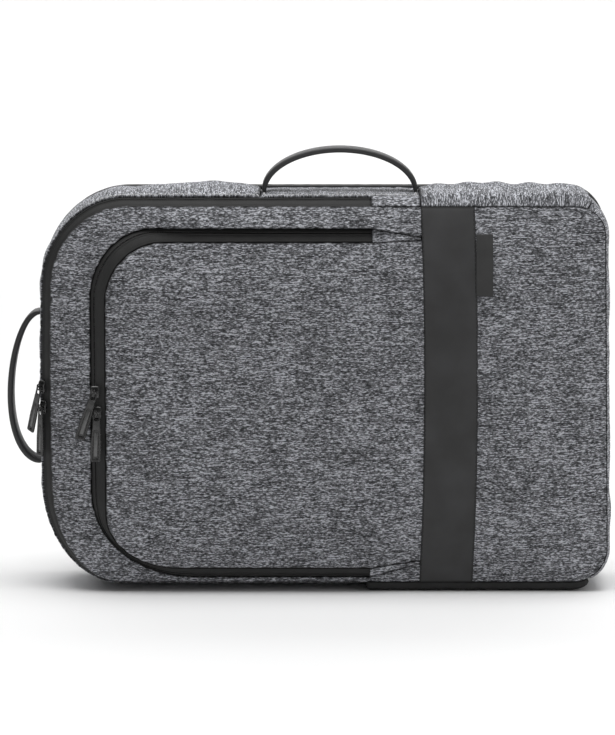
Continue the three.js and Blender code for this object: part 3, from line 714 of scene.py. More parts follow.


# One heather cloth in two copies. The gusset copy, also used on the side pockets, tabs and base, carries
# painted light: a lighter tone standing in for the light from above on the top.
HEATHER = heather("heather_front", tone=0.88)
HEATHER_PAINTED_LIT = heather("heather_painted_lit", tone=1.15)
BLACK_CLOTH = plain_weave("black_cloth", 0.036, 0.85)
TAPE = plain_weave("zip_tape_weave", 0.028, 0.55, pitch=0.42, depth=0.08, crest_shade=0.3)
BAND = coated("band_cloth", 0.045, 0.6, 0.3, 0.015)
LEATHER = coated("strap_leather", 0.032, 0.45, 0.9, 0.05, specular=0.4)
LABEL_CLOTH = plain_weave("label_weave", 0.045, 0.7, pitch=0.8)
REAR_MESH = plain_weave("rear_mesh", 0.03, 0.8, pitch=2.2, depth=0.5, crest_shade=0.6)
GUNMETAL = metal("gunmetal", 0.06, 0.26)
INSERT = metal("pull_insert", 0.12, 0.4)
BLACK_THREAD = thread("black_thread", 0.025)
GREY_THREAD = thread("grey_thread", 0.6)


# Stitches: rows of small thread stitches that lie along seams

def stitches(name, rows, material, pitch=STITCH["pitch"], length=STITCH["length"],
             radius=STITCH["radius"]):
    """rows are (points, normals) along seams in the bag's coordinates."""
    sides, levels = 6, ((-1.0, 0.25), (-0.8, 0.8), (0.0, 1.0), (0.8, 0.8), (1.0, 0.25))
    points, faces = [], []
    for path, up in rows:
        run = run_along(path)
        centres = np.arange(pitch / 2, run[-1] - pitch / 2, pitch)

        def at(values, where):
            return np.stack([np.interp(where, run, values[:, k]) for k in range(3)], 1)
        middle = at(path, centres)
        along = unit(at(path, centres + 0.4) - at(path, centres - 0.4))
        side = unit(np.cross(along, at(up, centres)))
        normal = np.cross(side, along)
        for m, a, n, s in zip(middle, along, normal, side):
            first = len(points)
            for where, size in levels:
                for k in range(sides):
                    angle = 2 * math.pi * k / sides
                    round_ = radius * size
                    points.append(m + a * where * length / 2 + s * round_ * math.cos(angle)
                                  + n * (round_ * math.sin(angle) - 0.12 * where * where))
            for level in range(len(levels) - 1):
                for k in range(sides):
                    j = (k + 1) % sides
                    low, high = first + level * sides, first + (level + 1) * sides
                    faces.append((low + k, high + k, high + j, low + j))
            faces.append(tuple(first + k for k in range(sides)))
            faces.append(tuple(first + (len(levels) - 1) * sides + k for k in reversed(range(sides))))
    points = np.array(points)
    first = facing_out(points[:len(levels) * sides], faces[:(len(levels) - 1) * sides + 2])
    if tuple(first[0]) != tuple(faces[0]):
        faces = [face[::-1] for face in faces]
    return new_piece(name, points, faces, material, flat_edge=80)


# Gussets

GUSSET_FORM = np.array([                      # share of the depth, share of the bulge, share of the sag
    (0, 0, 0), (0.14, 0.5, 0.05), (0.3, 0.88, 0.35), (0.46, 1, 0.85), (0.62, 0.9, 1), (0.8, 0.5, 1),
    (1, 0, 0.3)])


def gusset_line(bulge, sag):
    """out and depth across the gusset, a row for each value of bulge and sag."""
    depth = columns(BEVEL_DEPTH + 0.1, GUSSET_DEPTH)
    share = (depth - depth[0]) / (depth[-1] - depth[0])
    fine = np.linspace(0, 1, 401)
    bulged, sagged = (
        np.interp(share, fine, rounded_off(np.interp(fine, GUSSET_FORM[:, 0], GUSSET_FORM[:, k]), 20))
        for k in (1, 2))
    out = np.outer(bulge, bulged) + np.outer(sag, sagged)
    return out, np.broadcast_to(depth, out.shape).copy()


def gusset_relief(runs, depth, seed, wrinkle=0.5):
    front, rear = depth - depth[:, :1], depth[:, -1:] - depth
    run = runs[:, None]
    relief = roll(front) + roll(rear, 1.0, 0.8)
    relief += seam_form(front, run, seed) + seam_form(rear, run, seed + 1)
    folds = ripples(run, depth, seed + 2, 38, stretch=0.6)
    return relief + wrinkle * smooth(np.minimum(front, rear) / 14) * folds


def end_dip(runs, reach=5.0, drop=1.1):
    """The cross seams at a strip's two ends pull it in."""
    near = np.minimum(runs - runs[0], runs[-1] - runs)
    return -drop * np.exp(-near / reach)[:, None] + roll(near, 0.8, 0.6)[:, None]


def no_bulge(places):
    return np.zeros(len(places))


def gusset(name, start, end, seed, wrinkle, bulge=no_bulge, sag=no_bulge, material=HEATHER_PAINTED_LIT, over=None):
    """A strip of side wall; gives its outer skin. bulge and sag are functions of places, over of depth."""
    places, runs = stations(start, end, 2.0)
    sag = sag(places)
    out, depth = gusset_line(bulge(places), sag)
    if over is not None:
        out = out + over(depth)
    relief = gusset_relief(runs, depth, seed, wrinkle) + end_dip(runs)
    if sag.any():
        relief = np.minimum(relief, np.where(sag[:, None] > 0.1, 0.0, relief.max()))
    piece, outer = strip(name, places, runs, out, depth, relief, CLOTH, material)
    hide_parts(name)
    return outer


def wrap_bulge(places):
    even = mix(mix(TOP_BULGE, SIDE_BULGE, smooth(places - 1)), 0, smooth(places - 3))
    x, z, _, _ = rim(places)
    stuffed = STUFFED["top"] * np.exp(-((x - STUFFED["middle"]) / STUFFED["reach"]) ** 2)
    return even + stuffed * (z > BAG_TOP / 2)


def wrap_sag(places):
    return (GUSSET_LIFT - GROUND_GAP) * smooth(places - 3)


def handle_bulge(places):
    return np.full(len(places), HANDLE_PANEL_BULGE)


def sunk(depth):
    """The wall behind the upper side pocket lies lower, up to the pocket's rear edge."""
    return -POCKET_SINK * (1 - smooth((depth - (GUSSET_DEPTH - UPPER_POCKET["margin"])) / 8))


def make_base():
    """The base end runs from the front seam itself, over the bevel, to the rear seam."""
    places, runs = stations(BOTTOM_POCKET_END + HAIR, TOP_POCKET_END + 8 - HAIR, 2.0)
    out, depth = gusset_line(np.full(len(places), SIDE_BULGE), no_bulge(places))
    t = np.linspace(0, 1, 7)[:-1]
    front_out = -np.outer(inset(places), 1 - t)
    front_depth = np.broadcast_to(t * BEVEL_DEPTH, front_out.shape)
    out, depth = np.hstack([front_out, out]), np.hstack([front_depth, depth])
    rear, run = GUSSET_DEPTH - depth, runs[:, None]
    relief = seam_form(depth, run, 51, 0.4, 0.3) + seam_form(rear, run, 52) + roll(rear, 1.0, 0.8)
    relief += 0.6 * smooth(np.minimum(depth, rear) / 16) * ripples(run, depth, 53, 42) + end_dip(runs)
    base, _ = strip("gusset_base_cloth", places, runs, out, depth, relief, CLOTH, HEATHER_PAINTED_LIT)
    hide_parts("gusset_base")


def make_gussets():
    """The side walls all round. Gives the outer skins of the two with a stitch row at the front."""
    wrap = gusset("gusset_wrap", TOP_SEAM + HAIR, BOTTOM_POCKET_START - HAIR, 11, 0.7, wrap_bulge, wrap_sag)
    handle = gusset("gusset_handle_panel", TOP_BAND + HAIR, TOP_SEAM - HAIR, 21, 0.25, handle_bulge)
    gusset("gusset_under_upper_pocket", TOP_POCKET_END + HAIR, TOP_BAND - HAIR, 31, 0.1, over=sunk)
    gusset("gusset_under_lower_pocket", BOTTOM_POCKET_START + HAIR, BOTTOM_POCKET_END - HAIR, 41, 0.1,
           material=BLACK_CLOTH)
    make_base()
    return wrap, handle


# Zips

BEVEL = np.array([(1, 0), (0.62, 0.3), (0.24, 0.66), (0, 1)])     # share of the inset, share of the depth


def bevel_lines(places, share):
    """out and depth across the bevel, for shares from the front seam (0) to the gusset (1).

    Shares under 0 run on under the front panel."""
    fine = np.linspace(0, 1, 201)
    across = np.interp(share, fine, rounded_off(np.interp(fine, BEVEL[:, 1], BEVEL[:, 0]), 16))
    out = -np.outer(inset(places), across) + np.minimum(share, 0) * BEVEL_DEPTH
    depth = np.broadcast_to(np.maximum(share, 0) * BEVEL_DEPTH, out.shape).copy()
    return out, depth


def tape_relief(from_outer, width, run, seed):
    """A closed zip: woven tape, the slit over the coil with its two raised lips, and a wide smooth flap."""
    away = from_outer - SLIT_FROM_EDGE * np.clip(width / 12, 0.6, 1)
    lips = 0.42 * np.exp(-((np.abs(away) - 0.95) / 0.55) ** 2)
    slit = -0.75 * np.exp(-(away / 0.32) ** 2)
    near = np.minimum(from_outer, width - from_outer)
    edges = -1.0 * np.exp(-(np.maximum(near, 0) / 0.8) ** 2) - 0.16 * np.exp(-((near - 2.2) / 0.35) ** 2)
    sway = 0.10 * waves(run, seed, 22) + 0.05 * waves(run, seed + 1, 7)
    return lips + slit + edges + sway


def make_coils(rows):
    """Coil turns on both sides of each zip's slit; rows are (points, normals)."""
    turns = []
    for points, normals in rows:
        side = unit(np.cross(unit(np.gradient(points, axis=0)), normals))
        for sign in (-1, 1):
            turns.append((points + side * 0.42 * sign, normals))
    stitches("zip_coils", turns, GUNMETAL, pitch=1.25, length=0.8, radius=0.24)


def make_main_zip():
    """The tape and end tab on the bevel. Gives the points and normals of its slit."""
    width = math.hypot(INSETS[0], BEVEL_DEPTH)
    mm_across = np.concatenate([[-TAPE_LAP], np.linspace(0, width, 40), [width + TAPE_LAP]])
    share = mm_across / width
    places, runs = stations(TOP_ZIP_END, BOTTOM_POCKET_START, 2.0)
    out, depth = bevel_lines(places, share)
    local = np.hypot(inset(places), BEVEL_DEPTH)[:, None]
    from_outer = (1 - share)[None, :] * local
    relief = tape_relief(from_outer, local, runs[:, None], 61) - TAPE_SUNK
    tape, face = strip("main_zip_cloth", places, runs, out, depth, relief, TAPE_THICKNESS, TAPE,
                       "run", TAPE_LAP + 0.2)
    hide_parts("main_zip_tape")
    slit = face[:, int(np.argmin(np.abs(from_outer[len(places) // 2] - SLIT_FROM_EDGE)))]
    _, _, nx, nz = rim(places)
    normals = np.stack([nx * 0.745, np.full(len(nx), -0.667), nz * 0.745], 1)
    # The end tab is cloth sewn over the zip's end
    places, runs = stations(TOP_BAND + HAIR, TOP_ZIP_END, 2.0)
    share = columns(0, width, step=2.0) / width
    out, depth = bevel_lines(places, share)
    near = (np.minimum(share, 1 - share) * width)[None, :]
    relief = roll(near, 1.0, 0.9) + 0.25 * np.sin(share * math.pi)[None, :] + 0.2 * ripples(
        runs[:, None], depth, 62, 14) + roll(runs[-1] - runs, 1.0, 0.9)[:, None]
    tab, _ = strip("main_zip_end_cloth", places, runs, out, depth, relief - 0.1, CLOTH, HEATHER_PAINTED_LIT,
                   "run")
    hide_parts("main_zip_end_tab")
    return slit, normals


def make_pocket_zip():
    """The tape round the pocket's panel and its end tabs. Gives the points and normals of its slit."""
    count = 420
    t = np.linspace(0, 1, count)
    a, b = (spaced(path, t * run_along(path)[-1]) for path in (zip_path(), panel_path()))
    width = np.linalg.norm(b - a, axis=1)
    usual = POCKET_TAPE["left"]
    across = np.concatenate([[-TAPE_LAP], np.linspace(0, 1, 40) * usual, [usual + TAPE_LAP]]) / usual
    points = a[:, None] + (b - a)[:, None] * across[None, :, None]
    run = run_along(a)
    from_outer = across[None, :] * width[:, None]
    relief = tape_relief(from_outer, width[:, None], run[:, None], 71)
    keep = points[:, 20, 0] < ZIP_END + 4
    first, last = np.flatnonzero(keep)[[0, -1]]
    chosen = slice(first, last + 1)
    flat = points[chosen].reshape(-1, 2)
    height = front_height(flat).reshape(relief[chosen].shape)
    face = np.stack([points[chosen, :, 0], -(height + relief[chosen] - TAPE_SUNK), points[chosen, :, 1]], 2)
    back = face.copy()
    back[..., 1] = -height + POCKET_TAPE_BACK
    verts, faces = walled(face, back)
    grain = both_skins(np.broadcast_to(run[chosen, None], from_outer[chosen].shape), from_outer[chosen])
    near = np.minimum(from_outer, width[:, None] - from_outer)[chosen] - 0.2
    tape = new_piece("pocket_zip_cloth", verts, faces, TAPE, grain, seam=near)
    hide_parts("pocket_zip_tape")
    tape_length, tape_width = np.ptp(run[chosen]), width[chosen] + 2 * TAPE_LAP
    declare_sheet(tape_width.max(), tape_length, tape_width.mean() * tape_length)
    slit = int(np.argmin(np.abs(from_outer[count // 2] - SLIT_FROM_EDGE)))
    normals = np.tile([0.0, -1.0, 0.0], (face.shape[0], 1))
    make_pocket_tabs(a, b)
    return face[:, slit], normals


def make_pocket_tabs(a, b):
    """Cloth tabs over the pocket zip's two ends, narrowing to the band."""
    middle = (POCKET_TOP + POCKET_BOTTOM) / 2
    for name, half in (("upper", a[:, 1] > middle), ("lower", a[:, 1] < middle)):
        rows = half & (a[:, 0] > ZIP_END - 1)
        first, last = a[rows], b[rows]
        width = np.linalg.norm(last - first, axis=1)
        across = np.linspace(-0.06, 1.06, 15)
        points = first[:, None] + (last - first)[:, None] * across[None, :, None]
        flat = points.reshape(-1, 2)
        near = np.minimum(across, 1 - across)[None, :] * width[:, None]
        relief = roll(np.maximum(near, 0), 0.9, 1.0) + roll(np.abs(points[..., 0] - ZIP_END), 0.9, 0.8)
        crease = np.exp(-((points[..., 0] - ZIP_END - 15 - near * 0.8) / 2.2) ** 2)
        relief = relief - 0.55 * crease + 0.25 * ripples(points[..., 0], points[..., 1], 81, 12)
        height = front_height(flat).reshape(width.size, -1)
        face = np.stack([points[..., 0], -(height + relief - 0.2), points[..., 1]], 2)
        verts, faces = walled(face, face + (0, CLOTH, 0))
        to_seam = np.minimum(near - 0.3, np.abs(points[..., 0] - ZIP_END))
        tab = new_piece("pocket_tab_cloth_" + name, verts, faces, HEATHER_PAINTED_LIT,
                        both_skins(points[..., 0], points[..., 1]), seam=to_seam)
        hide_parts("pocket_zip_end_tab_" + name)
        length, laps = np.ptp(first[:, 0]), across[-1] - across[0]
        declare_sheet(width.max() * laps, length, width.mean() * laps * length)


# Front panels

EDGE_RINGS = (0.2, 0.5, 0.9, 1.4, 2.0, 2.7, 3.6, 4.8, 6.4)


def triangles_in(points, loops, outline, hole=None):
    """Triangles that keep to loops of points (lists of indices), inside an outline and outside a hole."""
    edges = [(loop[i], loop[(i + 1) % len(loop)]) for loop in loops for i in range(len(loop))]
    made = delaunay_2d_cdt([Vector(p) for p in points], edges, [], 0, 1e-6)
    places, faces = np.array([list(p) for p in made[0]]), np.array(made[2])
    centres = places[faces].mean(1)
    keep = inside(centres, outline)
    if hole is not None:
        keep &= ~inside(centres, hole)
    return places, faces[keep]


def panel_sheet(outline, spacing=2.6):
    """A flat triangulated sheet inside an outline, finer near its edges."""
    loop = resampled(np.vstack([outline, outline[:1]]), 1.5)[:-1]
    sets = [loop]
    for ring in EDGE_RINGS:
        stride = 1 if ring < 4 else 2
        candidates = inward(loop, ring)[::stride]
        away, _ = distance(candidates, loop, closed=True)
        sets.append(candidates[(away > ring * 0.93) & inside(candidates, loop)])
    low, high = loop.min(0), loop.max(0)
    xs = np.arange(low[0], high[0], spacing)
    zs = np.arange(low[1], high[1], spacing * 0.866)
    grid = np.array([(x + (j % 2) * spacing / 2, z) for j, z in enumerate(zs) for x in xs])
    grid = grid[inside(grid, loop)]
    away, _ = distance(grid, loop, closed=True)
    sets.append(grid[away > EDGE_RINGS[-1] + spacing * 0.7])
    places, faces = triangles_in(np.vstack(sets), [list(range(len(loop)))], loop)
    return places, faces, loop


def closed_sheet(outer, inner, faces):
    """A wall between two matching sets of points over the same triangles."""
    count = len(outer)
    edges = {}
    for face in faces:
        for i in range(3):
            a, b = int(face[i]), int(face[(i + 1) % 3])
            if (b, a) in edges:
                del edges[(b, a)]
            else:
                edges[(a, b)] = True
    skin = [tuple(int(i) for i in f) for f in faces]
    skin += [tuple(int(i) + count for i in f[::-1]) for f in faces]
    skin += [(b, a, a + count, b + count) for a, b in edges]
    points = np.vstack([outer, inner])
    return points, facing_out(points, skin)


def softened(name, flat_points, heights, faces, hold):
    """How far simulated cloth lifts: sewn edges held, a little spare cloth, light pressure from inside."""
    mesh = bpy.data.meshes.new(name + "_slack")
    start = np.stack([flat_points[:, 0], -heights, flat_points[:, 1]], 1)
    scale = 0.01                              # ten times the real size, which the solver handles better
    mesh.from_pydata((start * scale).tolist(), [], [tuple(int(i) for i in f) for f in faces])
    cloth = bpy.data.objects.new(name + "_slack", mesh)
    bpy.context.scene.collection.objects.link(cloth)
    held = cloth.vertex_groups.new(name="held")
    for index, weight in enumerate(hold):
        held.add([index], float(weight), "REPLACE")
    settings = cloth.modifiers.new("cloth", "CLOTH").settings
    settings.quality = 5
    settings.mass = 0.25
    settings.tension_stiffness = settings.compression_stiffness = 18
    settings.shear_stiffness = 8
    settings.bending_stiffness = 1.2
    settings.vertex_group_mass = "held"
    settings.pin_stiffness = 1.0
    settings.shrink_min = settings.shrink_max = -SPARE_CLOTH
    settings.effector_weights.gravity = 0
    settings.use_pressure = True
    settings.uniform_pressure_force = 0.6
    scene = bpy.context.scene
    for step in range(1, 19):
        scene.frame_set(step)
    result = cloth.evaluated_get(bpy.context.evaluated_depsgraph_get()).to_mesh()
    moved = np.zeros(len(mesh.vertices) * 3)
    result.vertices.foreach_get("co", moved)
    shift = moved.reshape(-1, 3) / scale - start
    scene.frame_set(1)
    bpy.data.objects.remove(cloth)
    lift = -shift[:, 1]
    return CLOTH_MOVE * np.tanh((lift - np.median(lift)) / CLOTH_MOVE)


def front_panel(name, node, outline, seams, seed, extra=None, cut=None):
    """A cloth panel of the front, rolled at its edges and puckered along its seams.

    seams are (path, depth, pucker); extra is a function of its points; cut is its flat width and length."""
    flat, faces, loop = panel_sheet(outline)
    away, _ = distance(flat, loop, closed=True)
    lift = roll(away)
    for path, depth, pucker in seams:
        seam_away, seam_run = distance(flat, path)
        lift += seam_form(seam_away, seam_run, seed, depth, pucker)
        seed += 3
    lift += 0.35 * smooth(away / 25) * ripples(flat[:, 0], flat[:, 1], seed, 70)
    lift += 0.16 * smooth(away / 6) * ripples(flat[:, 0], flat[:, 1], seed + 1, 22)
    if extra is not None:
        lift += extra(flat)
    height = front_height(flat)
    hold = np.where(away < 2.5, 1.0, 0.0)
    lift += softened(name, flat, height + lift, faces, hold) * smooth((away - 2) / 5)
    outer = np.stack([flat[:, 0], -(height + lift), flat[:, 1]], 1)
    inner = np.stack([flat[:, 0], -(height + np.minimum(lift, 0)) + CLOTH, flat[:, 1]], 1)
    points, skin = closed_sheet(outer, inner, faces)
    piece = new_piece(name, points, skin, HEATHER, both_skins(flat[:, 0], flat[:, 1]), seam=away)
    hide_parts(node)
    sides = flat[faces[:, 1:]] - flat[faces[:, :1]]
    area = np.abs(sides[:, 0, 0] * sides[:, 1, 1] - sides[:, 0, 1] * sides[:, 1, 0]).sum() / 2
    width, length = cut or np.ptp(loop, axis=0)
    declare_sheet(width, length, area * CROWN_SHARE)


def wavy(path, seed, amplitude=0.28):
    """A sewn edge: a path that wavers a little."""
    run = np.arange(len(path)) * 1.8
    return shifted(path, amplitude * waves(run, seed, 11, 6))


def make_front():
    """The border, the pocket's panel and the lower panel, each a little way under the band."""
    outer = front_path(TOP_BAND, BOTTOM_POCKET_START)
    bottom = front_path(BOTTOM_POCKET_START, find(BAND_LEFT + UNDER_BAND, 0, *ALONG_BOTTOM))
    top_lead = front_path(find(BAND_LEFT + UNDER_BAND, 0, *ALONG_TOP), TOP_BAND)
    rim_side = wavy(np.vstack([top_lead[:-1], outer[:-1], bottom]), 91)
    zip_side = wavy(zip_path(UNDER_BAND), 92)
    outline = np.vstack([rim_side, zip_side[::-1]])

    def lip(flat):
        """Above the pocket the border rests on the zip's upper edge and stands out over it."""
        zip_away, _ = distance(flat, zip_side)
        along_top = smooth((flat[:, 0] - 60) / 60) * smooth((BAND_LEFT - 1 - flat[:, 0]) / 34)
        over_top = smooth((flat[:, 1] - POCKET_TOP + 12) / 10) * along_top
        return LIP * over_top * smooth(1 - zip_away / (POCKET_FROM["top"] + 2))
    seams = [(rim_side, 0.5, 0.38), (zip_side, 0.4, 0.32)]
    cut = (BORDER_CUT, run_along(zip_side)[-1])
    front_panel("border_cloth", "front_border", outline, seams, 101, extra=lip, cut=cut)

    panel_side = wavy(panel_path(UNDER_BAND), 93)
    front_panel("pocket_cloth", "pocket_panel", panel_side, [(panel_side, 0.6, 0.34)], 111)

    start = find(BAND_RIGHT - UNDER_BAND, 0, *ALONG_BOTTOM)
    end = find(BAND_RIGHT - UNDER_BAND, 0, *ALONG_TOP)
    right = wavy(front_path(start, end + 8), 94, 0.2)
    front_panel("lower_cloth", "lower_panel", right, [(right, 0.6, 0.36)], 121)


def make_band():
    """The wide dark band over the front, hemmed at both sides. Gives its two stitch rows."""
    across = columns(0, BAND_WIDTH, fine=(0, 0.2, 0.5, 0.9, 1.3, 1.8, 2.6, 4), step=2.5)
    zs = np.linspace(FRONT_BOTTOM + 0.2, FRONT_TOP - 0.2, 170)
    x = band_line(BAND_LEFT, zs)[:, None] + across[None, :]
    z = np.broadcast_to(zs[:, None], x.shape)
    flat = np.stack([x, z], 2).reshape(-1, 2)
    height = front_height(flat).reshape(x.shape)
    near = np.minimum(across, BAND_WIDTH - across)[None, :]
    ends = np.minimum(z - FRONT_BOTTOM, FRONT_TOP - z)
    hem = -0.3 * np.exp(-((near - 3.0) / 0.5) ** 2)
    lift = roll(near, 0.9, 1.2) + hem + 0.22 * ripples(x, z, 131, 60, stretch=0.5) - 0.8 * np.exp(-ends / 3)
    face = np.stack([x, -(height + BAND_PROUD + lift), z], 2)
    back = np.stack([x, -height + 1.6, z], 2)
    points, faces = walled(face, back)
    band = new_piece("band_cloth", points, faces, BAND, both_skins(z, x), seam=np.minimum(near, ends))
    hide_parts("centre_band")
    declare_sheet(BAND_WIDTH, (FRONT_TOP - FRONT_BOTTOM) * BAND_SHARE)
    forward = np.tile([0.0, -1.0, 0.0], (len(face), 1))
    return [(face[:, k] + (0, -0.05, 0), forward) for k in (4, len(across) - 5)]


def make_label():
    """A bare woven tab, folded double and sewn into the band's seam."""
    left = BAND_RIGHT + BAND_BOW / 2 + LABEL["from_band"]
    top = FRONT_TOP - LABEL["from_top"]
    across = columns(-1.5, LABEL["width"], fine=(0, 0.3, 0.7, 1.2), step=1.2)
    down = columns(0, LABEL["length"], fine=(0, 0.3, 0.7, 1.2), step=1.6)
    x, z = left + across[None, :] + 0 * down[:, None], top - down[:, None] + 0 * across[None, :]
    height = front_height(np.stack([x, z], 2).reshape(-1, 2)).reshape(x.shape)
    near = np.minimum(np.minimum(down, LABEL["length"] - down)[:, None], (LABEL["width"] - across)[None, :])
    lift = LABEL["thickness"] + 0.3 + roll(near, 0.6, 0.7) + 0.5 * smooth((x - left) / LABEL["width"])
    lift = lift + 0.15 * waves(down, 141, 20)[:, None]
    face = np.stack([x, -(height + lift), z], 2)
    back = np.stack([x, -(height + 0.15), z], 2)
    points, faces = walled(face, back)
    tab = new_piece("label_cloth", points, faces, LABEL_CLOTH, both_skins(x, z))
    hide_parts("label_tab")
    declare_sheet(LABEL["width"] + 1.5, LABEL["length"])


# Side pockets

def side_pocket(name, node, start, end, closed_end, form, material, seed, wrinkle):
    """A stretch pocket over the side wall, sewn down at its closed end (0 or -1)."""
    places, runs = stations(start, end, 1.8)
    rear = GUSSET_DEPTH - form["margin"]
    closing = ease(np.abs(runs - runs[closed_end]) / POCKET_END_RUN)
    seam = -inset(places)
    edge = mix(form["seat"], form["shoulder"], closing)
    filled = np.sin(math.pi * (runs - runs[0]) / (runs[-1] - runs[0])).clip(0, 1) ** 0.7
    stuffed = STUFFED_POCKET * filled * (node == "upper_side_pocket")
    crown_out = mix(form["seat"], form["crown"], closing) + stuffed
    keys = np.array([0, 0.12 * BEVEL_DEPTH, 0.48 * BEVEL_DEPTH, BEVEL_DEPTH, GUSSET_DEPTH / 2,
                     rear - BEVEL_DEPTH, rear])
    levels = np.stack([seam, mix(seam, edge, 0.55), mix(seam, edge, 0.88), edge, crown_out, edge,
                       np.full(len(places), form["seat"])], 1)
    depth_line = columns(0, rear)
    fine = np.linspace(0, rear, 301)
    out = np.empty((len(places), len(depth_line)))
    for i, row in enumerate(levels):
        out[i] = np.interp(depth_line, fine, rounded_off(np.interp(fine, keys, row), 9))
    depth = np.broadcast_to(depth_line, out.shape).copy()
    back, run = rear - depth, runs[:, None]
    hem = 0.25 * np.exp(-((back - 7) / 0.7) ** 2)
    relief = seam_form(depth, run, seed, 0.3, 0.35) + roll(back, 1.2, 1.0) - hem
    relief += wrinkle * smooth(np.minimum(depth, back) / 16) * ripples(run, depth, seed + 1, 34, stretch=0.7)
    relief += end_dip(runs, 4.0, 0.8)
    if node == "lower_side_pocket":
        relief = np.minimum(relief, 0.0)      # the bag stands on it
    piece, _ = strip(name, places, runs, out, depth, relief, CLOTH, material)
    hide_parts(node)


def make_side_pockets():
    side_pocket("upper_pocket_cloth", "upper_side_pocket", TOP_POCKET_END + HAIR, TOP_BAND - HAIR, 0,
                UPPER_POCKET, HEATHER_PAINTED_LIT, 151, 0.7)
    side_pocket("lower_pocket_cloth", "lower_side_pocket", BOTTOM_POCKET_START + HAIR,
                BOTTOM_POCKET_END - HAIR, -1, LOWER_POCKET, BLACK_CLOTH, 161, 0.4)


# Rear panel and piping

def make_rear():
    """The piping round the rear edge and the padded rear panel. Gives the panel's stitch row."""
    places, runs = stations(0, 8, 2.4)
    places, runs = places[:-1], runs[:-1]
    x, z, nx, nz = rim(places)
    centre = GUSSET_DEPTH + 0.3 + PIPING_RADIUS
    rings = []
    for angle in np.linspace(0, 2 * math.pi, 12, endpoint=False):
        out = PIPING_RADIUS * math.cos(angle) - PIPING_RADIUS / 10 + 0.05 * waves(runs, 171, 12)
        depth = np.full(len(x), centre + PIPING_RADIUS * math.sin(angle))
        rings.append(np.stack([x + nx * out, depth, z + nz * out], 1))
    tube = np.stack(rings, 1)
    count, sides = tube.shape[:2]
    faces = [(i * sides + k, i * sides + (k + 1) % sides, ((i + 1) % count) * sides + (k + 1) % sides,
              ((i + 1) % count) * sides + k) for i in range(count) for k in range(sides)]
    points = tube.reshape(-1, 3)
    piping = new_piece("piping", points, facing_out(points, faces), LEATHER)
    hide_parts("rear_piping")

    edge = 2.8
    outline = np.stack([x - nx * edge, z - nz * edge], 1)
    middle = np.array([BAG_LENGTH / 2, (FRONT_TOP + FRONT_BOTTOM) / 2])
    inner_depth = GUSSET_DEPTH - REAR["edge"] / 2
    shares = np.array([1, 0.997, 0.99, 0.98, 0.97, 0.95, 0.925, 0.9, 0.86, 0.82, 0.78, 0.7, 0.62, 0.5, 0.38,
                       0.26, 0.14])
    seam_share = 0.955
    key_shares = [0.0, REAR["flat"], 0.78, 0.9, 0.97, 1.0]
    key_rises = [1, 1, 0.95, 0.74, 0.38, 0]
    rise = np.interp(shares, key_shares, key_rises)
    skin, back = [], []
    for share, up in zip(shares, rise):
        ring = middle + (outline - middle) * share
        seam = 0.7 * np.exp(-((share - seam_share) / 0.012) ** 2)
        quilt = 0.3 * smooth((0.9 - share) / 0.1) * ripples(ring[:, 0], ring[:, 1], 172, 55)
        out = REAR["edge"] + REAR["crown"] * up - seam + np.minimum(quilt, 0)
        inner = inner_depth + np.maximum(0, out - REAR["padding"])
        skin.append(np.stack([ring[:, 0], inner_depth + out, ring[:, 1]], 1))
        back.append(np.stack([ring[:, 0], inner, ring[:, 1]], 1))
    count, levels = len(outline), len(shares)
    top = inner_depth + REAR["edge"] + REAR["crown"]
    points = np.concatenate([np.stack(skin, 1).reshape(-1, 3), np.stack(back, 1).reshape(-1, 3),
                             [[middle[0], top, middle[1]]], [[middle[0], top - REAR["padding"], middle[1]]]])
    half, tip = count * levels, 2 * count * levels
    faces = grid_faces(count, levels, 0, False, True) + grid_faces(count, levels, half, True, True)
    for i in range(count):
        j = (i + 1) % count
        last_i, last_j = i * levels + levels - 1, j * levels + levels - 1
        faces.append((last_i, tip, last_j))
        faces.append((half + last_j, tip + 1, half + last_i))
        faces.append((j * levels, half + j * levels, half + i * levels, i * levels))
    grain = np.stack([points[:, 0], points[:, 2], 0 * points[:, 0]], 1)
    panel = new_piece("rear_cloth", points, facing_out(points, faces), REAR_MESH, grain)
    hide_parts("rear_panel")
    row = middle + (np.vstack([outline, outline[:1]]) - middle) * seam_share
    seam_rise = REAR["crown"] * np.interp(seam_share, key_shares, key_rises)
    depth = np.full(len(row), inner_depth + REAR["edge"] + seam_rise - 0.55)
    return [(np.stack([row[:, 0], depth, row[:, 1]], 1), np.tile([0.0, 1.0, 0.0], (len(row), 1)))]


# Handles

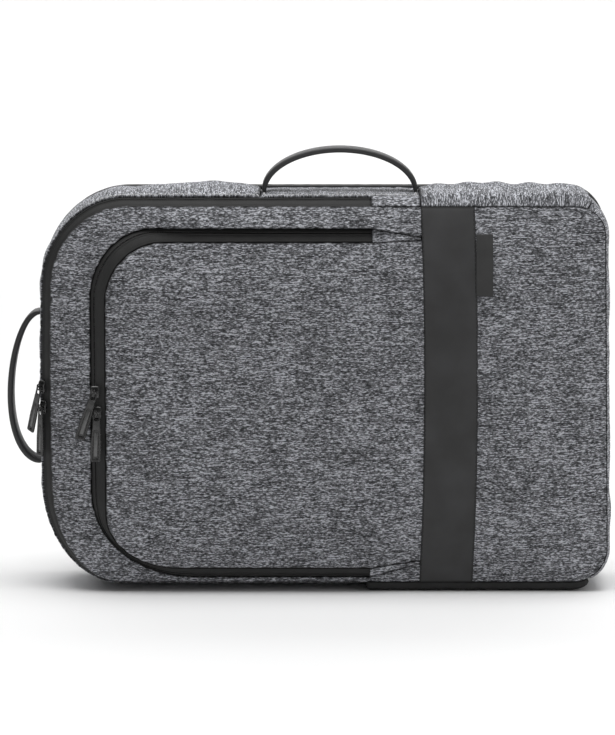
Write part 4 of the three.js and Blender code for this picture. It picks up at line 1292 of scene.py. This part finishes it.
def strap(name, node, span, rise, sag, place):
    """A flat padded strap in an arch, with rolled edges. Gives the stitch rows along its edges."""
    steps, half, thick = 90, STRAP["width"] / 2, STRAP["thickness"] / 2
    edge = ((0, 0), (0.25, 0.55), (0.9, 0.86), (2.2, 0.94), (3, 0.8), (3.8, 0.96), (half - half / 3, 1.0))
    lines = [(a - half, b) for a, b in edge] + [(half - a, b) for a, b in edge[::-1]]
    section = [(a, thick * b) for a, b in lines] + [(a, -thick * b) for a, b in lines[-2:0:-1]]
    t = np.linspace(0, math.pi, steps)

    def path(v):
        return np.stack([-span / 2 * np.cos(v) + sag * np.sin(v) ** 2, rise * np.sin(v)], 1)
    at = path(t)
    along = unit(path(t + 1e-3) - path(t - 1e-3))
    along[0], along[-1] = (0, 1), (0, -1)
    for k in range(1, 6):
        share = smooth(k / 6)
        for row, towards in ((k, (0, 1)), (-1 - k, (0, -1))):
            along[row] = along[row] * share + np.array(towards) * (1 - share)
            along[row] /= np.linalg.norm(along[row])
    press = 1 - 0.35 * np.exp(-np.minimum(t, math.pi - t) / 0.12)
    rings = []
    for i in range(steps):
        ring = []
        for across, out in section:
            out = out * press[i]
            ring.append(place(at[i, 0] - along[i, 1] * out, across, at[i, 1] + along[i, 0] * out))
        rings.append(ring)
    points, faces = lofted(rings)
    piece = new_piece(name, points, faces, LEATHER, flat_edge=60)
    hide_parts(node)
    rows = []
    for across in (-half + 3, half - 3):
        for face in (1, -1):
            out = thick * 0.84 * face
            line = np.array([place(at[i, 0] - along[i, 1] * out, across, at[i, 1] + along[i, 0] * out)
                             for i in range(4, steps - 4)])
            origin = np.array([place(at[i, 0], across, at[i, 1]) for i in range(4, steps - 4)])
            rows.append((line, (line - origin) / (thick * 0.84)))
    return rows


def make_handles():
    base = BAG_TOP + HANDLE_PANEL_BULGE + 0.3
    middle = (HANDLE_SEAM + BAND_LEFT) / 2
    span = BAND_LEFT - HANDLE_SEAM - 2 * TOP_HANDLE["from_seam"]
    depth = GUSSET_DEPTH / 2
    rows = strap("top_handle_strap", "top_handle", span, TOP_HANDLE["rise"], 0,
                 lambda a, across, out: (middle + a, depth + across, base + out))
    low_z, high_z = (SIDE_HANDLE["height"] + side * SIDE_HANDLE["span"] / 2 for side in (-1, 1))
    feet = [rim([find(z, 1, 2.1, 2.9)])[0][0] for z in (low_z, high_z)]
    side = min(feet) - SIDE_BULGE - 0.6
    rows += strap("side_handle_strap", "side_handle", SIDE_HANDLE["span"], SIDE_HANDLE["reach"],
                  -SIDE_HANDLE["sag"],
                  lambda a, across, out: (side - out, depth + across, SIDE_HANDLE["height"] + a))
    return rows


# Sliders and pulls, in the frames of their hinges

SLIDER = {"width": 7.5, "length": 11, "height": 2.6, "clear": 2.6}
PULL = {"length": 38, "width": 8, "neck": 5.6, "thickness": 1.4, "taper": 24, "ring_end": 7.2}


def hinge_frame(joint):
    """Origin and axes of a pull in the bag's coordinates: x across, y into the bag, z up along the pull."""
    origin = np.array(joint["pos_m"]) / MM - (LEFT_SIDE, FRONT_SEAM, 0)
    x = -np.array(joint["axis"], float)
    x /= np.linalg.norm(x)
    y = np.cross((0, 0, 1), x)
    y /= np.linalg.norm(y)
    return origin, x, y, np.cross(x, y)


def in_frame(points, origin, x, y, z):
    points = np.asarray(points, float)
    return origin + points[:, :1] * x + points[:, 1:2] * y + points[:, 2:3] * z


def slider_mesh():
    """A domed slider body that narrows to its lower end; its bridge is made by bridge_mesh. y is out of the
    zip.
    """
    sides, rows = 28, 15
    rings = []
    for t in np.linspace(-1, 1, rows):
        size = (1 - abs(t) ** 5) ** 0.4 * 0.985 + 0.015
        waist = (1 - 0.10 * (t < 0) * t * t) * (1 - 0.12 * math.exp(-(t / 0.35) ** 2))
        half = SLIDER["width"] / 2 * size * waist
        high = SLIDER["height"] * (0.62 + 0.38 * (1 - t * t)) * (0.3 + 0.7 * size)
        ring = []
        for angle in np.linspace(0, 2 * math.pi, sides, endpoint=False):
            c, s = math.cos(angle), math.sin(angle)
            ring.append((half * np.sign(c) * abs(c) ** 0.5, high / 2 + high / 2 * np.sign(s) * abs(s) ** 0.6,
                         t * SLIDER["length"] / 2))
        rings.append(ring)
    return lofted(rings)


def bridge_mesh():
    """The wire arch on the slider that holds the pull."""
    sides, rows, radius = 10, 21, 0.62
    reach = 2.35
    rings = []
    for t in np.linspace(0, math.pi, rows):
        c, s = math.cos(t), math.sin(t)
        z = reach * np.sign(c) * abs(c) ** 0.5
        y = SLIDER["height"] - 0.9 + (SLIDER["clear"] + 1.45) * abs(s) ** 0.45
        dz, dy = -math.sin(t), math.cos(t) * 0.8
        size = math.hypot(dz, dy)
        ring = []
        for angle in np.linspace(0, 2 * math.pi, sides, endpoint=False):
            side, up = radius * math.cos(angle), radius * 0.85 * math.sin(angle)
            ring.append((side, y + up * -dz / size, z + up * dy / size))
        rings.append(ring)
    return lofted(rings)


def rounded(corners, radius, steps=5):
    """A closed outline with its corners rounded."""
    made = []
    count = len(corners)
    for i in range(count):
        p = np.array(corners[i], float)
        a, b = np.array(corners[i - 1], float) - p, np.array(corners[(i + 1) % count], float) - p
        cut = min(radius, np.linalg.norm(a) / 2.05, np.linalg.norm(b) / 2.05)
        start, end = p + a / np.linalg.norm(a) * cut, p + b / np.linalg.norm(b) * cut
        for t in np.linspace(0, 1, steps):
            made.append((1 - t) ** 2 * start + 2 * t * (1 - t) * p + t * t * end)
    return np.array(made)


def pull_mesh():
    """A flat pull with bevelled edges, a hole for the bridge and a recess in each face."""
    half, neck, end, ring = PULL["width"] / 2, PULL["neck"] / 2, -PULL["length"], 2.6
    side = ((ring, 0.6), (ring, -5.2), (neck, -PULL["ring_end"]), (half, -PULL["taper"]), (half, end))
    outer = rounded([(-x, z) for x, z in side] + list(side[::-1]), 1.6)
    hole = rounded([(-1.6, -0.6), (-1.6, -5.9), (1.6, -5.9), (1.6, -0.6)], 1.2)
    recess = rounded([(-1.9, -13), (-2.35, end + 2.6), (2.35, end + 2.6), (1.9, -13)], 1.3)
    thick = PULL["thickness"] / 2
    loops = [(outer, thick - 0.3), (inward(outer, 0.28), thick), (inward(recess, -0.3), thick),
             (recess, thick - 0.08), (inward(recess, 0.25), thick - 0.42), (inward(hole, -0.22), thick),
             (hole, thick - 0.25)]
    flat = np.vstack([loop for loop, _ in loops])
    heights = np.concatenate([np.full(len(loop), h) for loop, h in loops])
    starts = np.cumsum([0] + [len(loop) for loop, _ in loops])
    indices = [list(range(starts[i], starts[i + 1])) for i in range(len(loops))]
    places, faces = triangles_in(flat, indices, outer, hole)
    front = np.stack([places[:, 0], -heights, places[:, 1]], 1)
    back = np.stack([places[:, 0], heights, places[:, 1]], 1)
    return closed_sheet(front, back, faces)


def insert_mesh(face):
    """The textured insert in a pull's recess, standing a little above its floor."""
    end = -PULL["length"]
    loop = rounded([(-1.15, -15), (-1.35, end + 4.2), (1.35, end + 4.2), (1.15, -15)], 0.8)
    thick = PULL["thickness"] / 2
    top = thick - 0.12
    small = inward(loop, 0.25)
    count = len(loop)
    points = [(x, face * (thick - 0.5), z) for x, z in loop] + [(x, face * (top - 0.12), z) for x, z in loop]
    points += [(x, face * top, z) for x, z in small]
    return lofted(np.array(points).reshape(3, count, 3))


def make_sliders():
    drop = SLIDER["height"] + SLIDER["clear"] / 2
    for joint in frame["joints"]:
        name = joint["child"]
        zip_name, which = name.split("_pull_")
        node = f"{zip_name}_zip_pull_{which}"
        origin, x, y, z = hinge_frame(joint)
        points, faces = pull_mesh()
        pull = new_piece(f"{zip_name}_{which}_puller", in_frame(points, origin, x, y, z), faces, GUNMETAL,
                         body=name, flat_edge=35)
        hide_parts(node)
        for face, side in ((-1, "front"), (1, "back")):
            points, faces = insert_mesh(face)
            new_piece(f"{zip_name}_{which}_insert_{side}", in_frame(points, origin, x, y, z), faces, INSERT,
                      body=name, flat_edge=35)
        across = np.cross(y, (0, 0, 1))
        seat = origin + y * drop
        for label, mesh in (("slider", slider_mesh()), ("bridge", bridge_mesh())):
            points, faces = mesh
            placed = in_frame(points, seat, across, -y, np.array((0, 0, 1.0)))
            piece = new_piece(f"{zip_name}_{which}_{label}", placed, facing_out(placed, faces), GUNMETAL,
                              flat_edge=40)
            if label == "slider":
                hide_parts(f"{zip_name}_zip_slider_{which}")


# Seams

def make_stitching(skins, handle_rows, hems, rear_rows):
    """Stitch rows on the upper side wall, and those that the other pieces gave."""
    rows = []
    for grid in skins:
        top = grid[:, 0, 2] > FRONT_TOP - 4
        column = int(np.searchsorted(grid[0, :, 1] - BEVEL_DEPTH, STITCH["from_edge"]))
        line = grid[top, column]
        rows.append((line + (0, -0.1, 0.28), np.tile([0.0, -0.5, 0.87], (len(line), 1))))
    up_rows = np.tile([0.0, 0.0, 1.0], (60, 1))
    depths = np.linspace(BEVEL_DEPTH + 3, GUSSET_DEPTH - 4, 60)
    for x, lift in ((HANDLE_SEAM - 3, 1.2), (HANDLE_SEAM + 3, 0.2), (BAND_LEFT - 3, 0.2)):
        rows.append((np.stack([np.full(60, x), depths, np.full(60, BAG_TOP + lift)], 1), up_rows))
    stitches("gusset_stitching", rows, GREY_THREAD, radius=0.42)
    stitches("strap_stitching", handle_rows, BLACK_THREAD, pitch=3.2)
    stitches("band_stitching", hems + rear_rows, BLACK_THREAD)


# Stage, light and camera

WORLD_LIGHT = 0.14
OVERHEAD = 45.0
FRONT_LIGHT = 2.4
RIGHT_LIGHT = 5.0
BACKGROUND_LIGHT = 245.0


def area_light(name, place, target, size, power):
    data = bpy.data.lights.new(name, "AREA")
    data.shape = "RECTANGLE"
    data.size, data.size_y = size
    data.energy = power
    light = bpy.data.objects.new(name, data)
    light.location = place
    light.rotation_euler = (Vector(target) - Vector(place)).to_track_quat("-Z", "Y").to_euler()
    bpy.context.scene.collection.objects.link(light)


def make_stage():
    floor_mesh = bpy.data.meshes.new("floor")
    rows = [(y, 0.0) for y in (-7.0, -2.0, 0.0, 2.0, 5.0)]
    rows += [(5 + 2.5 * math.sin(a), 2.5 - 2.5 * math.cos(a)) for a in np.linspace(0.1, math.pi / 2, 12)]
    rows.append((7.5, 8.0))
    points = [(x, y, z) for y, z in rows for x in (-9.0, 9.0)]
    faces = [(2 * i, 2 * i + 1, 2 * i + 3, 2 * i + 2) for i in range(len(rows) - 1)]
    floor_mesh.from_pydata(points, [], faces)
    floor_mesh.shade_smooth()
    floor = bpy.data.objects.new("floor", floor_mesh)
    bpy.context.scene.collection.objects.link(floor)
    material, _, shader = new_material("pale_floor", 0.9)
    shader.inputs["Base Color"].default_value = (0.93, 0.93, 0.93, 1)
    floor_mesh.materials.append(material)
    scene = bpy.context.scene
    world_light = bpy.data.worlds.new("studio")
    world_light.use_nodes = True
    world_light.node_tree.nodes["Background"].inputs[0].default_value = (1, 1, 1, 1)
    world_light.node_tree.nodes["Background"].inputs[1].default_value = WORLD_LIGHT
    scene.world = world_light
    scene.view_settings.view_transform = "Standard"
    area_light("overhead", (0.05, -0.3, 2.2), (0, 0, 0.1), (2.2, 1.4), OVERHEAD)
    area_light("front_left", (-1.2, -2.6, 0.5), (0, 0, 0.15), (1.0, 0.6), FRONT_LIGHT)
    area_light("right", (1.7, -1.1, 0.8), (0, 0, 0.15), (0.8, 0.8), RIGHT_LIGHT)
    area_light("background", (0, 4.2, 3.4), (0, 4.2, 0), (9.0, 5.0), BACKGROUND_LIGHT)


CAMERA_ELEVATION = 7.5
CAMERA_DISTANCE = 3.0
PHOTO = {"width": 615, "height": 735, "mm_per_pixel": 0.779}
AIM = (-0.00176, 0.1776)


def make_camera():
    data = bpy.data.cameras.new("camera")
    data.sensor_fit = "VERTICAL"
    data.sensor_height = 36
    tall = PHOTO["height"] * PHOTO["mm_per_pixel"] * MM
    data.lens = data.sensor_height * CAMERA_DISTANCE / tall
    camera = bpy.data.objects.new("camera", data)
    angle = math.radians(CAMERA_ELEVATION)
    away, above = CAMERA_DISTANCE * math.cos(angle), CAMERA_DISTANCE * math.sin(angle)
    camera.location = (AIM[0], FRONT_SEAM * MM - away, AIM[1] + above)
    camera.rotation_euler = (math.pi / 2 - angle, 0, 0)
    bpy.context.scene.collection.objects.link(camera)
    bpy.context.scene.camera = camera


make_camera()
make_stage()
gusset_skins = make_gussets()
main_slit = make_main_zip()
pocket_slit = make_pocket_zip()
make_coils([main_slit, pocket_slit])
make_front()
band_hems = make_band()
make_label()
make_side_pockets()
rear_seams = make_rear()
strap_rows = make_handles()
make_sliders()
make_stitching(gusset_skins, strap_rows, band_hems, rear_seams)
